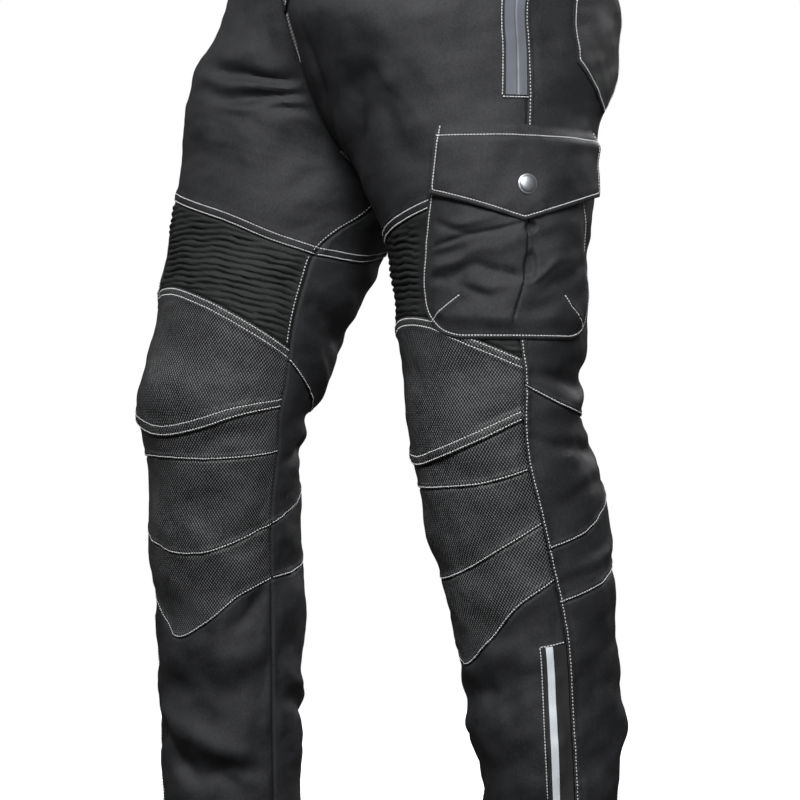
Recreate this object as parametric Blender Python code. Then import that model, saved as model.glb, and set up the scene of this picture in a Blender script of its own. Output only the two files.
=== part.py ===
"""Motorcycle trousers, filled out as worn and held up at the waist.

Metres, +Z up. The wearer faces -Y, so the left leg is at +X. The origin is the centre of the
waistband. A point of the cloth is named by a leg, a wrap and a drop. Drop is the garment's length
below the waistband's centre. Wrap goes round the leg from its front edge: 0 is the centre front
and then the inseam, 1 is the side seam, 2 is the centre back and then the inseam again.
"""

import math
from collections import namedtuple

import bmesh
import bpy
import numpy as np
from mathutils import Vector
from mathutils.bvhtree import BVHTree

# Cloth walls and seams
CLOTH = 0.0016
BAND_CLOTH = 0.0030
PATCH_CLOTH = 0.0012
SEAM_GAP = 0.0003
LAY_GAP = 0.0008
CROSS_SEAM_GAP = 0.0004

# Lengths down the garment
BAND_TOP = -0.020
BAND_BOTTOM = 0.020
CROTCH = 0.310
HEM = 0.990

# Gathered stretch panel above the knee
RIB_PITCH = 0.0065
RIB_HEIGHT = 0.0022
KNEE_LAP_RISE = 0.0020

# Cargo pocket and its flap, measured from the side seam and down from the waist
POCKET_FRONT_TOP_WIDTH = 0.086
POCKET_FRONT_WIDTH = 0.097
POCKET_REAR_TOP_WIDTH = 0.070
POCKET_REAR_WIDTH = 0.096
POCKET_TOP = 0.284
POCKET_BOTTOM = 0.468
POCKET_CORNER = 0.045
POCKET_RIM = 0.0022
POCKET_GAP = 0.0012
POCKET_BULGE = 0.0055
FLAP_FRONT_WIDTH = 0.087
FLAP_REAR_WIDTH = 0.098
FLAP_TOP = 0.268
FLAP_SIDE = 0.331
FLAP_POINT = 0.358
FLAP_STAND_OFF = 0.0070
FLAP_CLOTH = 0.0020
SNAP_RADIUS = 0.0098
SNAP_HEIGHT = 0.0042
SNAP_DROP = 0.3245

# Zips and strips
HIP_ZIP_WIDTH = 0.023
HIP_ZIP_BOTTOM = 0.240
ANKLE_ZIP_WIDTH = 0.024
ANKLE_ZIP_TOP = 0.757
STRIP_WIDTH = 0.0065
FLY_WIDTH = 0.040
FLY_BOTTOM = 0.150

# Back pocket, measured behind the side seam and down from the waist
BACK_POCKET_NEAR = 0.062
BACK_POCKET_WIDTH = 0.116
BACK_POCKET_TOP = 0.075
BACK_POCKET_SIDE = 0.205
BACK_POCKET_POINT = 0.250

# How far the waistband's face stands proud of the panels, and where its lapped end stops
BAND_RISE = 0.0006
BAND_LAP = 0.140

# Grid of the panels
FRONT_COLUMNS = 12
BACK_COLUMNS = 12
ROW_STEP = 0.030
THIGH_ROW_STEP = 0.021
SHIN_ROW_STEP = 0.038
CROTCH_ROWS = (0.055, 0.090, 0.120, 0.150, 0.180, 0.207, 0.232, 0.254, 0.273, 0.289, 0.301, 0.308,
               0.314, 0.326, 0.348, 0.400)
STEP = 1e-4
FACET_REACH = 0.010

Section = namedtuple("Section", "drop x y z half_width front back lean")

# Sections that both legs share. x, y and z are the section's centre.
HIPS = (
    Section(-0.025, 0.000, 0.000, 0.025, 0.168, 0.126, 0.134, 0),
    Section(0.000, 0.000, 0.000, 0.000, 0.170, 0.129, 0.138, 0),
    Section(0.030, 0.008, 0.001, -0.030, 0.170, 0.136, 0.148, 0),
    Section(0.070, 0.027, 0.004, -0.070, 0.158, 0.147, 0.168, 0),
    Section(0.120, 0.050, 0.008, -0.120, 0.145, 0.158, 0.182, 0),
    Section(0.160, 0.066, 0.004, -0.160, 0.134, 0.161, 0.184, 0),
)
LEFT_LEG = (
    Section(0.200, 0.081, 0.010, -0.200, 0.123, 0.146, 0.164, 0),
    Section(0.240, 0.095, 0.012, -0.240, 0.114, 0.127, 0.140, 0),
    Section(0.280, 0.105, 0.012, -0.280, 0.108, 0.117, 0.122, 0),
    Section(0.310, 0.108, 0.012, -0.310, 0.107, 0.112, 0.115, 0),
    Section(0.365, 0.116, 0.013, -0.365, 0.103, 0.097, 0.098, 0),
    Section(0.423, 0.122, 0.015, -0.423, 0.099, 0.090, 0.090, 0),
    Section(0.500, 0.130, 0.012, -0.500, 0.091, 0.084, 0.084, 0),
    Section(0.540, 0.132, 0.012, -0.539, 0.088, 0.084, 0.082, -2),
    Section(0.580, 0.135, 0.021, -0.578, 0.084, 0.088, 0.089, -6),
    Section(0.620, 0.139, 0.031, -0.617, 0.082, 0.091, 0.089, -8),
    Section(0.680, 0.144, 0.040, -0.676, 0.079, 0.087, 0.086, -7),
    Section(0.740, 0.149, 0.047, -0.735, 0.076, 0.081, 0.081, -6),
    Section(0.800, 0.153, 0.053, -0.794, 0.073, 0.077, 0.077, -4),
    Section(0.860, 0.157, 0.057, -0.853, 0.071, 0.072, 0.072, -3),
    Section(0.920, 0.161, 0.058, -0.913, 0.069, 0.066, 0.064, -2),
    Section(0.990, 0.166, 0.059, -0.983, 0.069, 0.063, 0.062, -1),
)
RIGHT_LEG = (
    Section(0.200, 0.081, -0.011, -0.200, 0.124, 0.163, 0.165, 2),
    Section(0.240, 0.095, -0.028, -0.240, 0.115, 0.149, 0.142, 5),
    Section(0.280, 0.104, -0.043, -0.280, 0.111, 0.135, 0.126, 8),
    Section(0.312, 0.109, -0.055, -0.312, 0.109, 0.125, 0.116, 11),
    Section(0.382, 0.118, -0.077, -0.380, 0.104, 0.107, 0.099, 14),
    Section(0.425, 0.123, -0.089, -0.421, 0.099, 0.101, 0.095, 16),
    Section(0.469, 0.128, -0.101, -0.460, 0.095, 0.095, 0.091, 16),
    Section(0.513, 0.134, -0.112, -0.501, 0.092, 0.091, 0.088, 14),
    Section(0.556, 0.137, -0.125, -0.541, 0.088, 0.088, 0.082, 8),
    Section(0.577, 0.139, -0.124, -0.562, 0.086, 0.083, 0.080, 4),
    Section(0.619, 0.142, -0.122, -0.602, 0.082, 0.074, 0.075, 0),
    Section(0.660, 0.146, -0.120, -0.642, 0.080, 0.075, 0.077, -3),
    Section(0.741, 0.152, -0.110, -0.723, 0.077, 0.074, 0.076, -4),
    Section(0.802, 0.155, -0.106, -0.784, 0.076, 0.072, 0.073, -3),
    Section(0.863, 0.158, -0.103, -0.845, 0.075, 0.070, 0.070, -3),
    Section(0.943, 0.162, -0.099, -0.925, 0.075, 0.071, 0.071, -2),
    Section(0.990, 0.165, -0.096, -0.972, 0.074, 0.070, 0.070, -1),
)

# Where the side seam and the inseam run, as angles round the section: 0 is outward, -90 is front.
# The right leg is turned out, so its seams lie further forward on the inside.
SeamAngle = namedtuple("SeamAngle", "drop side inseam")
LEFT_SEAMS = (
    SeamAngle(-0.025, 0, -180),
    SeamAngle(0.150, -2, -180),
    SeamAngle(0.225, -7, -180),
    SeamAngle(0.310, -13, -180),
    SeamAngle(0.380, -20, -186),
    SeamAngle(0.450, -24, -190),
    SeamAngle(0.510, -19, -190),
    SeamAngle(0.580, -21, -190),
    SeamAngle(0.660, -19, -185),
    SeamAngle(0.750, -15, -177),
    SeamAngle(0.850, -18, -178),
    SeamAngle(0.990, -19, -180),
)
RIGHT_SEAMS = (
    SeamAngle(-0.025, 0, -180),
    SeamAngle(0.150, -2, -180),
    SeamAngle(0.225, 0, -172),
    SeamAngle(0.310, 3, -167),
    SeamAngle(0.400, 2, -170),
    SeamAngle(0.460, 0, -173),
    SeamAngle(0.500, -5, -178),
    SeamAngle(0.550, -13, -186),
    SeamAngle(0.660, -17, -184),
    SeamAngle(0.760, -23, -181),
    SeamAngle(0.850, -22, -181),
    SeamAngle(0.990, -20, -181),
)

# The seam between the two legs, in the plane x = 0, down to the point where the inseams begin
CentreSeam = namedtuple("CentreSeam", "drop front back")
CENTRE_SEAM = (
    CentreSeam(-0.025, -0.126, 0.134),
    CentreSeam(0.000, -0.129, 0.138),
    CentreSeam(0.060, -0.141, 0.162),
    CentreSeam(0.120, -0.146, 0.180),
    CentreSeam(0.160, -0.138, 0.181),
    CentreSeam(0.200, -0.121, 0.166),
    CentreSeam(0.240, -0.103, 0.138),
    CentreSeam(0.270, -0.083, 0.104),
    CentreSeam(0.290, -0.063, 0.066),
    CentreSeam(0.303, -0.042, 0.024),
    CentreSeam(0.310, -0.020, -0.020),
)

# Seams across a leg: drops at seven even steps from the inseam to the side seam, front then back
AcrossSeam = namedtuple("AcrossSeam", "name inseam inner front_inner front front_outer outer side")
FRONT_SEAMS = (
    AcrossSeam("gather_top", 0.390, 0.386, 0.374, 0.362, 0.347, 0.330, 0.315),
    AcrossSeam("gather_bottom", 0.487, 0.471, 0.456, 0.446, 0.449, 0.467, 0.486),
    AcrossSeam("knee_lap", 0.545, 0.560, 0.574, 0.580, 0.573, 0.560, 0.543),
    AcrossSeam("band_bottom", 0.591, 0.598, 0.601, 0.600, 0.599, 0.597, 0.589),
    AcrossSeam("mid_bottom", 0.666, 0.681, 0.690, 0.688, 0.677, 0.659, 0.640),
    AcrossSeam("tip_bottom", 0.720, 0.734, 0.760, 0.774, 0.750, 0.716, 0.695),
)
BACK_SEAMS = (
    AcrossSeam("seat_bottom", 0.390, 0.381, 0.358, 0.338, 0.325, 0.318, 0.315),
    AcrossSeam("thigh_bottom", 0.498, 0.527, 0.540, 0.545, 0.542, 0.533, 0.512),
    AcrossSeam("hollow_bottom", 0.666, 0.646, 0.624, 0.618, 0.633, 0.655, 0.665),
    AcrossSeam("calf_band_bottom", 0.720, 0.714, 0.696, 0.688, 0.694, 0.707, 0.717),
)

# The largest folds, as soft ridges (+) and troughs (-) between two points of the cloth
Fold = namedtuple("Fold", "leg wrap_a drop_a wrap_b drop_b width height")
FOLDS = (
    Fold("right", 0.02, 0.212, 0.45, 0.203, 0.010, -0.005),
    Fold("right", 0.02, 0.228, 0.42, 0.236, 0.010, -0.005),
    Fold("right", 0.03, 0.262, 0.27, 0.310, 0.010, -0.005),
    Fold("right", 0.14, 0.300, 0.22, 0.340, 0.009, -0.003),
    Fold("left", 0.50, 0.200, 0.31, 0.242, 0.014, -0.004),
    Fold("left", 0.31, 0.242, 0.25, 0.305, 0.014, -0.005),
    Fold("left", 0.28, 0.160, 0.09, 0.275, 0.012, -0.004),
    Fold("left", 1.40, 0.268, 1.80, 0.305, 0.014, -0.006),
    Fold("right", 1.40, 0.268, 1.80, 0.305, 0.014, -0.006),
    Fold("left", 1.20, 0.500, 1.75, 0.505, 0.013, -0.006),
    Fold("right", 1.25, 0.550, 1.85, 0.548, 0.013, -0.007),
    Fold("right", 1.50, 0.430, 1.90, 0.460, 0.013, -0.004),
    Fold("left", 1.15, 0.600, 1.55, 0.570, 0.012, -0.004),
    Fold("right", 1.60, 0.610, 1.90, 0.585, 0.012, -0.004),
    Fold("left", 0.25, 0.850, 0.85, 0.815, 0.015, 0.003),
    Fold("left", 0.20, 0.890, 0.80, 0.855, 0.015, -0.003),
    Fold("right", 0.15, 0.890, 0.80, 0.840, 0.014, 0.004),
    Fold("right", 0.10, 0.920, 0.75, 0.880, 0.013, -0.004),
    Fold("right", 1.20, 0.820, 1.80, 0.870, 0.015, -0.003),
    Fold("left", 1.20, 0.800, 1.75, 0.860, 0.015, -0.003),
    Fold("left", 1.20, 0.930, 1.80, 0.900, 0.014, -0.003),
)
FOLD_WRAP_LENGTH = 0.26

COLOURS = {
    "shell_cloth": (0.030, 0.031, 0.034, 1.0),
    "gathered_cloth": (0.020, 0.021, 0.022, 1.0),
    "knee_cloth": (0.040, 0.042, 0.044, 1.0),
    "zip_tape": (0.110, 0.118, 0.135, 1.0),
    "dark_tape": (0.012, 0.012, 0.012, 1.0),
    "reflective": (0.720, 0.760, 0.800, 1.0),
    "metal": (0.300, 0.310, 0.330, 1.0),
}
ROUGHNESS = {"zip_tape": 0.45, "reflective": 0.40, "metal": 0.32}


def through(knots, values, at):
    """A smooth curve through the values at the knots, read at the points wanted."""
    knots = np.asarray(knots, float)
    values = np.asarray(values, float)
    at = np.clip(np.asarray(at, float), knots[0], knots[-1])
    slopes = np.gradient(values, knots)
    i = np.clip(np.searchsorted(knots, at, side="right") - 1, 0, len(knots) - 2)
    span = knots[i + 1] - knots[i]
    t = (at - knots[i]) / span
    start = (1 + 2 * t) * (1 - t) ** 2 * values[i] + t * (1 - t) ** 2 * span * slopes[i]
    end = t * t * (3 - 2 * t) * values[i + 1] + t * t * (t - 1) * span * slopes[i + 1]
    return start + end


def ease(t):
    """0 to 1, starting and ending level."""
    t = np.clip(t, 0, 1)
    return t * t * (3 - 2 * t)


class Leg:
    """One half of the trousers: its side, its sections and the surface through them."""

    def __init__(self, name, side, rows, seams):
        self.name = name
        self.side = side
        self.rows = HIPS + rows
        self.seams = seams
        self.folds = [fold for fold in FOLDS if fold.leg == name]
        self.panels = None

    def column(self, field, drop):
        knots = [row.drop for row in self.rows]
        return through(knots, [getattr(row, field) for row in self.rows], drop)

    def seam_angle(self, field, drop):
        knots = [row.drop for row in self.seams]
        return np.radians(through(knots, [getattr(row, field) for row in self.seams], drop))

    def on_section(self, drop, angle):
        """A point of the section at that drop, with x counted outwards."""
        depth = np.where(np.sin(angle) < 0, self.column("front", drop), self.column("back", drop))
        lean = np.radians(self.column("lean", drop))
        reach = depth * np.sin(angle)
        return np.stack([
            self.column("x", drop) + self.column("half_width", drop) * np.cos(angle),
            self.column("y", drop) + reach * np.cos(lean),
            self.column("z", drop) - reach * np.sin(lean),
        ], axis=-1)

    def centre_seam(self, drop, edge):
        """The point of the centre seam at that drop. edge is front or back."""
        depth = np.sqrt(CROTCH - np.minimum(drop, CROTCH))
        rows = CENTRE_SEAM[::-1]
        knots = [math.sqrt(CROTCH - row.drop) for row in rows]
        y = through(knots, [getattr(row, edge) for row in rows], depth)
        return np.stack([np.zeros_like(y), y, -np.minimum(drop, CROTCH)], axis=-1)

    def edge_angle(self, drop, edge):
        """The angle at which the front or the back edge of the half leaves the section."""
        turn = -1 if edge == "front" else 1
        above = np.minimum(drop, CROTCH)
        y = self.centre_seam(above, edge)[..., 1] - self.column("y", above)
        depth = np.where(y < 0, self.column("front", above), self.column("back", above))
        angle = np.arctan2(y / depth, -self.column("x", above) / self.column("half_width", above))
        angle = np.where(angle * turn < 0, angle + turn * 2 * math.pi, angle)
        inseam = self.seam_angle("inseam", drop)
        if edge == "back":
            inseam = inseam + 2 * math.pi
        settled = ease((drop - CROTCH) / 0.09)
        return angle * (1 - settled) + inseam * settled

    def flat_point(self, wrap, drop):
        """The cloth without its folds."""
        side = self.seam_angle("side", drop)
        front = self.edge_angle(drop, "front")
        back = self.edge_angle(drop, "back")
        angle = np.where(wrap < 1, front + (side - front) * wrap, side + (back - side) * (wrap - 1))
        point = self.on_section(drop, angle)
        # Each edge is drawn onto the shared centre seam, and eases away from it round the leg
        pull = 1 - ease((drop - CROTCH) / 0.05)
        for edge, edge_angle, share in (("front", front, 1 - wrap / 0.5), ("back", back, (wrap - 1.5) / 0.5)):
            missing = self.centre_seam(drop, edge) - self.on_section(np.minimum(drop, CROTCH), edge_angle)
            weight = ease(share) * pull
            point = point + missing * weight[..., None]
        point[..., 0] = np.maximum(point[..., 0], SEAM_GAP / 2)
        point[..., 0] *= self.side
        return point

    def fold_height(self, wrap, drop):
        height = np.zeros(np.broadcast(wrap, drop).shape)
        for fold in self.folds:
            a = np.array([fold.wrap_a * FOLD_WRAP_LENGTH, fold.drop_a])
            b = np.array([fold.wrap_b * FOLD_WRAP_LENGTH, fold.drop_b])
            along = (b - a) / np.dot(b - a, b - a)
            x = wrap * FOLD_WRAP_LENGTH - a[0]
            y = drop - a[1]
            t = x * along[0] + y * along[1]
            inside = np.clip(t, 0, 1)
            off = np.hypot(x - inside * (b - a)[0], y - inside * (b - a)[1])
            taper = 0.35 + 0.65 * np.sin(math.pi * inside)
            height = height + fold.height * taper * np.exp(-((off / fold.width) ** 2))
        # Stitched seams hold the cloth, so folds die away towards them
        hold = ease(np.abs(wrap - np.round(wrap)) / 0.12)
        return height * hold

    def direction(self, wrap, drop, step=STEP):
        """The unit normal out of the cloth, and the length of a unit of wrap."""
        low, high = np.maximum(wrap - step * 20, 0), np.minimum(wrap + step * 20, 2)
        across = self.flat_point(high, drop) - self.flat_point(low, drop)
        down = self.flat_point(wrap, drop + step) - self.flat_point(wrap, drop - step)
        normal = np.cross(down, across) * self.side
        normal /= np.linalg.norm(normal, axis=-1, keepdims=True)
        return normal, np.linalg.norm(across, axis=-1) / (high - low)

    def point(self, wrap, drop, lift=0.0):
        """A point of the cloth's outer face, moved out by lift."""
        wrap, drop = np.broadcast_arrays(np.asarray(wrap, float), np.asarray(drop, float))
        normal, _ = self.direction(wrap, drop)
        rise = self.fold_height(wrap, drop) + lift
        return self.flat_point(wrap, drop) + normal * rise[..., None]

    def remember(self, pieces):
        """Keeps the panels' faces, so that pieces laid on them can clear their flat facets."""
        points, faces = [], []
        for piece in pieces:
            start = len(points)
            points += [vertex.co for vertex in piece.data.vertices]
            faces += [[start + i for i in face.vertices] for face in piece.data.polygons]
        self.panels = BVHTree.FromPolygons(points, faces)

    def facet_height(self, wrap, drop):
        """How far the flat facets of the panels stand over the smooth cloth, where they do."""
        wrap, drop = np.broadcast_arrays(np.asarray(wrap, float), np.asarray(drop, float))
        points = self.point(wrap, drop)
        normals, _ = self.direction(wrap, drop)
        heights = np.zeros(drop.shape)
        for index in np.ndindex(drop.shape):
            start = Vector(points[index] + normals[index] * FACET_REACH)
            hit = self.panels.ray_cast(start, Vector(-normals[index]), FACET_REACH)
            if hit[3] is not None:
                heights[index] = FACET_REACH - hit[3]
        return heights

    def wrap_at(self, distance, drop):
        """The wrap that lies that far behind the side seam, measured along the cloth."""
        distance, drop = np.broadcast_arrays(np.asarray(distance, float), np.asarray(drop, float))
        steps = 12
        wrap = np.ones(distance.shape)
        for _ in range(steps):
            _, length = self.direction(np.clip(wrap + np.sign(distance) * 0.01, 0, 2), drop)
            wrap = wrap + distance / steps / length
        return wrap


def seam_line(seams, name):
    """The drop of an across seam as a function of wrap, over its own half of the leg."""
    row = next(row for row in seams if row.name == name)
    drops = np.array(row[1:], float)
    steps = np.linspace(0, 1, len(drops))
    if seams is BACK_SEAMS:
        return lambda wrap: through(steps, drops, 2 - wrap)
    return lambda wrap: through(steps, drops, wrap)


def level(drop):
    return lambda wrap: np.full(np.shape(wrap), float(drop))


def material(name):
    found = bpy.data.materials.get(name)
    if found:
        return found
    made = bpy.data.materials.new(name)
    made.use_nodes = True
    shader = made.node_tree.nodes["Principled BSDF"]
    shader.inputs["Base Color"].default_value = COLOURS[name]
    shader.inputs["Roughness"].default_value = ROUGHNESS.get(name, 0.85)
    shader.inputs["Metallic"].default_value = 1.0 if name == "metal" else 0.0
    made.diffuse_color = COLOURS[name]
    return made


def finish(name, mesh, slot):
    """Turns a bmesh into the named piece, with its faces pointing out."""
    bmesh.ops.remove_doubles(mesh, verts=mesh.verts, dist=2e-6)
    bmesh.ops.dissolve_degenerate(mesh, edges=mesh.edges, dist=2e-6)
    bmesh.ops.triangulate(mesh, faces=mesh.faces)
    if mesh.calc_volume(signed=True) < 0:
        bmesh.ops.reverse_faces(mesh, faces=mesh.faces)
    data = bpy.data.meshes.new(name)
    mesh.to_mesh(data)
    mesh.free()
    data.shade_smooth()
    data.set_sharp_from_angle(angle=math.radians(50))
    data.materials.append(material(slot))
    piece = bpy.data.objects.new(name, data)
    bpy.context.scene.collection.objects.link(piece)
    return piece


def sheet(name, outer, inner, slot):
    """A closed wall between two grids of points, outer and inner."""
    rows, columns = outer.shape[:2]
    mesh = bmesh.new()
    out = [[mesh.verts.new(p) for p in row] for row in outer]
    back = [[mesh.verts.new(p) for p in row] for row in inner]
    for i in range(rows - 1):
        for j in range(columns - 1):
            mesh.faces.new((out[i][j], out[i][j + 1], out[i + 1][j + 1], out[i + 1][j]))
            mesh.faces.new((back[i][j], back[i + 1][j], back[i + 1][j + 1], back[i][j + 1]))
    for j in range(columns - 1):
        mesh.faces.new((out[0][j + 1], out[0][j], back[0][j], back[0][j + 1]))
        mesh.faces.new((out[-1][j], out[-1][j + 1], back[-1][j + 1], back[-1][j]))
    for i in range(rows - 1):
        mesh.faces.new((out[i][0], out[i + 1][0], back[i + 1][0], back[i][0]))
        mesh.faces.new((out[i + 1][-1], out[i][-1], back[i][-1], back[i + 1][-1]))
    return finish(name, mesh, slot)


def half_wraps(leg, half, drops):
    """Wraps across the front or back half of a leg, held half a seam gap inside its seams."""
    wraps = np.broadcast_to(even_wraps(half), drops.shape).copy()
    for column, sign in ((0, 1), (-1, -1)):
        _, length = leg.direction(wraps[:, column], drops[:, column])
        wraps[:, column] += sign * SEAM_GAP / 2 / length
    return wraps


def even_wraps(half):
    if half == "front":
        return np.linspace(0, 1, FRONT_COLUMNS + 1)
    return np.linspace(1, 2, BACK_COLUMNS + 1)


def edge_levels(edge):
    """Drops at which the pieces on both sides of a long seam share a row of points."""
    marks = {BAND_BOTTOM, HEM}
    for seams, wrap in ((FRONT_SEAMS, 1 if edge == "side" else 0), (BACK_SEAMS, 1 if edge == "side" else 2)):
        marks |= {round(float(seam_line(seams, row.name)(np.array(float(wrap)))), 4) for row in seams}
    if edge == "centre":
        marks |= set(CROTCH_ROWS)
    marks = sorted(marks)
    levels = [marks[-1]]
    for low, high in zip(marks, marks[1:]):
        step = ROW_STEP if low < 0.31 else THIGH_ROW_STEP if low < 0.70 else SHIN_ROW_STEP
        count = max(1, round((high - low) / step))
        levels += list(np.linspace(low, high, count, endpoint=False))
    return np.sort(levels)


def row_shares(half, high, low):
    """Each row's share of the way from the top seam to the bottom seam, at each column.

    The rows meet the levels of the long seam at each end. The end with fewer levels repeats some.
    """
    ends = []
    for edge, column in (("centre", 0), ("side", -1)) if half == "front" else (("side", 0), ("centre", -1)):
        levels = edge_levels(edge)
        inside = levels[(levels > high[column] + 0.002) & (levels < low[column] - 0.002)]
        shares = (inside - high[column]) / (low[column] - high[column])
        ends.append(np.concatenate([[0], shares, [1]]))
    rows = max(len(end) for end in ends)
    first, last = (end[np.round(np.linspace(0, len(end) - 1, rows)).astype(int)] for end in ends)
    across = np.linspace(0, 1, len(high))
    return first[:, None] * (1 - across) + last[:, None] * across


def panel(leg, name, half, top, bottom, slot="shell_cloth", rise=None):
    """A cut panel of one half of a leg, between two seam lines."""
    high = top(even_wraps(half)) + CROSS_SEAM_GAP / 2
    low = bottom(even_wraps(half)) - CROSS_SEAM_GAP / 2
    drops = high + (low - high) * row_shares(half, high, low)
    wraps = half_wraps(leg, half, drops)
    lift = 0.0 if rise is None else rise(wraps, drops)
    outer = leg.point(wraps, drops, lift)
    inner = leg.point(wraps, drops, -CLOTH)
    return sheet(f"{name}_{leg.name}", outer, inner, slot)


def gathered_panel(leg):
    """The stretch panel above the knee: level ribs, cut off by the slanting seams round it."""
    high = seam_line(FRONT_SEAMS, "gather_top")(even_wraps("front")) + CROSS_SEAM_GAP / 2
    low = seam_line(FRONT_SEAMS, "gather_bottom")(even_wraps("front")) - CROSS_SEAM_GAP / 2
    lines = np.arange(high.min() - RIB_PITCH / 2, low.max() + RIB_PITCH / 2, RIB_PITCH / 2)
    drops = np.clip(lines[:, None], high, low)
    wraps = half_wraps(leg, "front", drops)
    wave = np.where(np.arange(len(lines)) % 2 == 0, 0.5, -0.5)[:, None] * RIB_HEIGHT
    loose = ease((drops - high) / RIB_PITCH) * ease((low - drops) / RIB_PITCH)
    loose = loose * (1 - under_pocket(leg, wraps, drops)) * ease(wraps / 0.06)
    outer = leg.point(wraps, drops, wave * loose)
    inner = leg.point(wraps, drops, -CLOTH - RIB_HEIGHT / 2 * loose)
    return sheet(f"gathered_panel_{leg.name}", outer, inner, "gathered_cloth")


def under_pocket(leg, wraps, drops):
    """1 where the cargo pocket lies over the cloth, 0 well clear of it."""
    edge = leg.wrap_at(-POCKET_FRONT_WIDTH - 0.014, drops)
    across = ease((wraps - edge) / 0.04)
    down = 1 - ease((drops - POCKET_BOTTOM - 0.002) / 0.010)
    return across * down


def leg_panels(leg):
    """The panels of one leg, front and back, from the waistband to the hem."""
    lines = {row.name: seam_line(FRONT_SEAMS, row.name) for row in FRONT_SEAMS}
    lines.update({row.name: seam_line(BACK_SEAMS, row.name) for row in BACK_SEAMS})
    waist, hem = level(BAND_BOTTOM), level(HEM)

    def lap(wraps, drops):
        edge = lines["knee_lap"](np.clip(wraps, 0, 1))
        return KNEE_LAP_RISE * (1 - ease((edge - drops) / 0.016)) * ease(wraps / 0.1)

    panels = [gathered_panel(leg)]
    panels.append(panel(leg, "front", "front", waist, lines["gather_top"]))
    for name, half, top, bottom, slot, rise in (
        ("knee_cap", "front", lines["gather_bottom"], lines["knee_lap"], "knee_cloth", lap),
        ("knee_band", "front", lines["knee_lap"], lines["band_bottom"], "knee_cloth", None),
        ("knee_lower", "front", lines["band_bottom"], lines["mid_bottom"], "knee_cloth", None),
        ("knee_tip", "front", lines["mid_bottom"], lines["tip_bottom"], "knee_cloth", None),
        ("shin", "front", lines["tip_bottom"], hem, "shell_cloth", None),
        ("seat", "back", waist, lines["seat_bottom"], "shell_cloth", None),
        ("back_thigh", "back", lines["seat_bottom"], lines["thigh_bottom"], "shell_cloth", None),
        ("back_knee", "back", lines["thigh_bottom"], lines["hollow_bottom"], "shell_cloth", None),
        ("calf_band", "back", lines["hollow_bottom"], lines["calf_band_bottom"], "shell_cloth", None),
        ("calf", "back", lines["calf_band_bottom"], hem, "shell_cloth", None),
    ):
        panels.append(panel(leg, name, half, top, bottom, slot, rise))
    leg.remember(panels)


def lay(leg, name, wraps, drops, lift_in, lift_out, slot):
    """A piece sewn onto a leg, between two heights over its panels."""
    clear = leg.facet_height(wraps, drops)
    outer = leg.point(wraps, drops, lift_out + clear)
    return sheet(name, outer, leg.point(wraps, drops, lift_in + clear), slot)


def patch(leg, name, distances, drops, lift_in, lift_out, slot):
    """A piece laid on a leg, on a grid of distances behind the side seam and of drops."""
    return lay(leg, name, leg.wrap_at(distances, drops), drops, lift_in, lift_out, slot)


def pocket_width(across, drops):
    """The pocket's width on one side of the side seam. It spreads out towards its foot."""
    spread = ease((drops - POCKET_TOP) / 0.140)
    front = POCKET_FRONT_TOP_WIDTH + (POCKET_FRONT_WIDTH - POCKET_FRONT_TOP_WIDTH) * spread
    rear = POCKET_REAR_TOP_WIDTH + (POCKET_REAR_WIDTH - POCKET_REAR_TOP_WIDTH) * spread
    return np.where(across < 0, front, rear)


def cargo_pocket(leg):
    """The flat bellows pocket: folded cloth that lies on the leg, with a pleat down its middle."""
    across = np.linspace(-1, 1, 13)
    down = np.array([0, 0.10, 0.24, 0.40, 0.56, 0.70, 0.82, 0.92, 1.0])[:, None]
    # The lower corners are quarter ellipses, so the bottom edge curves up towards each side
    from_side = (1 - np.abs(across)) * POCKET_FRONT_WIDTH
    corner = np.clip(1 - from_side / POCKET_CORNER, 0, 1)
    bottom = POCKET_BOTTOM - POCKET_CORNER * (1 - np.sqrt(1 - corner**2))
    drops = POCKET_TOP + down * (bottom - POCKET_TOP)
    distances = across * pocket_width(across, drops)
    flat_rim = ease((1 - np.abs(across)) / 0.30) * ease((1 - down) / 0.25) * ease(down / 0.30)
    held_down = 0.55 + 0.45 * ease((drops - FLAP_SIDE - 0.010) / 0.030)
    pleat = 0.70 * np.exp(-((distances - 0.004) / 0.010) ** 2)
    sag = 0.25 * np.sin(2 * math.pi * (drops - 0.360) / 0.050 + distances / 0.030)
    bulge = POCKET_BULGE * flat_rim * held_down * (1 - pleat + sag * ease((drops - 0.350) / 0.020))
    patch(leg, f"cargo_pocket_{leg.name}", distances, drops, POCKET_GAP,
          LAY_GAP + POCKET_RIM + np.maximum(bulge, 0), "shell_cloth")


def flap_edge(across):
    """The drop of the flap's lower edge: level towards each side, with a point in the middle."""
    return FLAP_SIDE + (FLAP_POINT - FLAP_SIDE) * (1 - np.abs(across)) ** 1.15


def flap_lift(drops):
    """How far the flap's inner face stands off the leg, to clear the pocket under it."""
    return LAY_GAP + FLAP_STAND_OFF * ease((drops - FLAP_TOP) / 0.016)


def cargo_flap(leg):
    across = np.linspace(-1, 1, 13)
    down = np.array([0, 0.10, 0.22, 0.40, 0.70, 1.0])[:, None]
    drops = FLAP_TOP + down * (flap_edge(across) - FLAP_TOP)
    width = np.where(across < 0, FLAP_FRONT_WIDTH, FLAP_REAR_WIDTH)
    distances = np.broadcast_to(across * width, drops.shape)
    lift = flap_lift(drops)
    patch(leg, f"cargo_flap_{leg.name}", distances, drops, lift, lift + FLAP_CLOTH, "shell_cloth")


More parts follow.
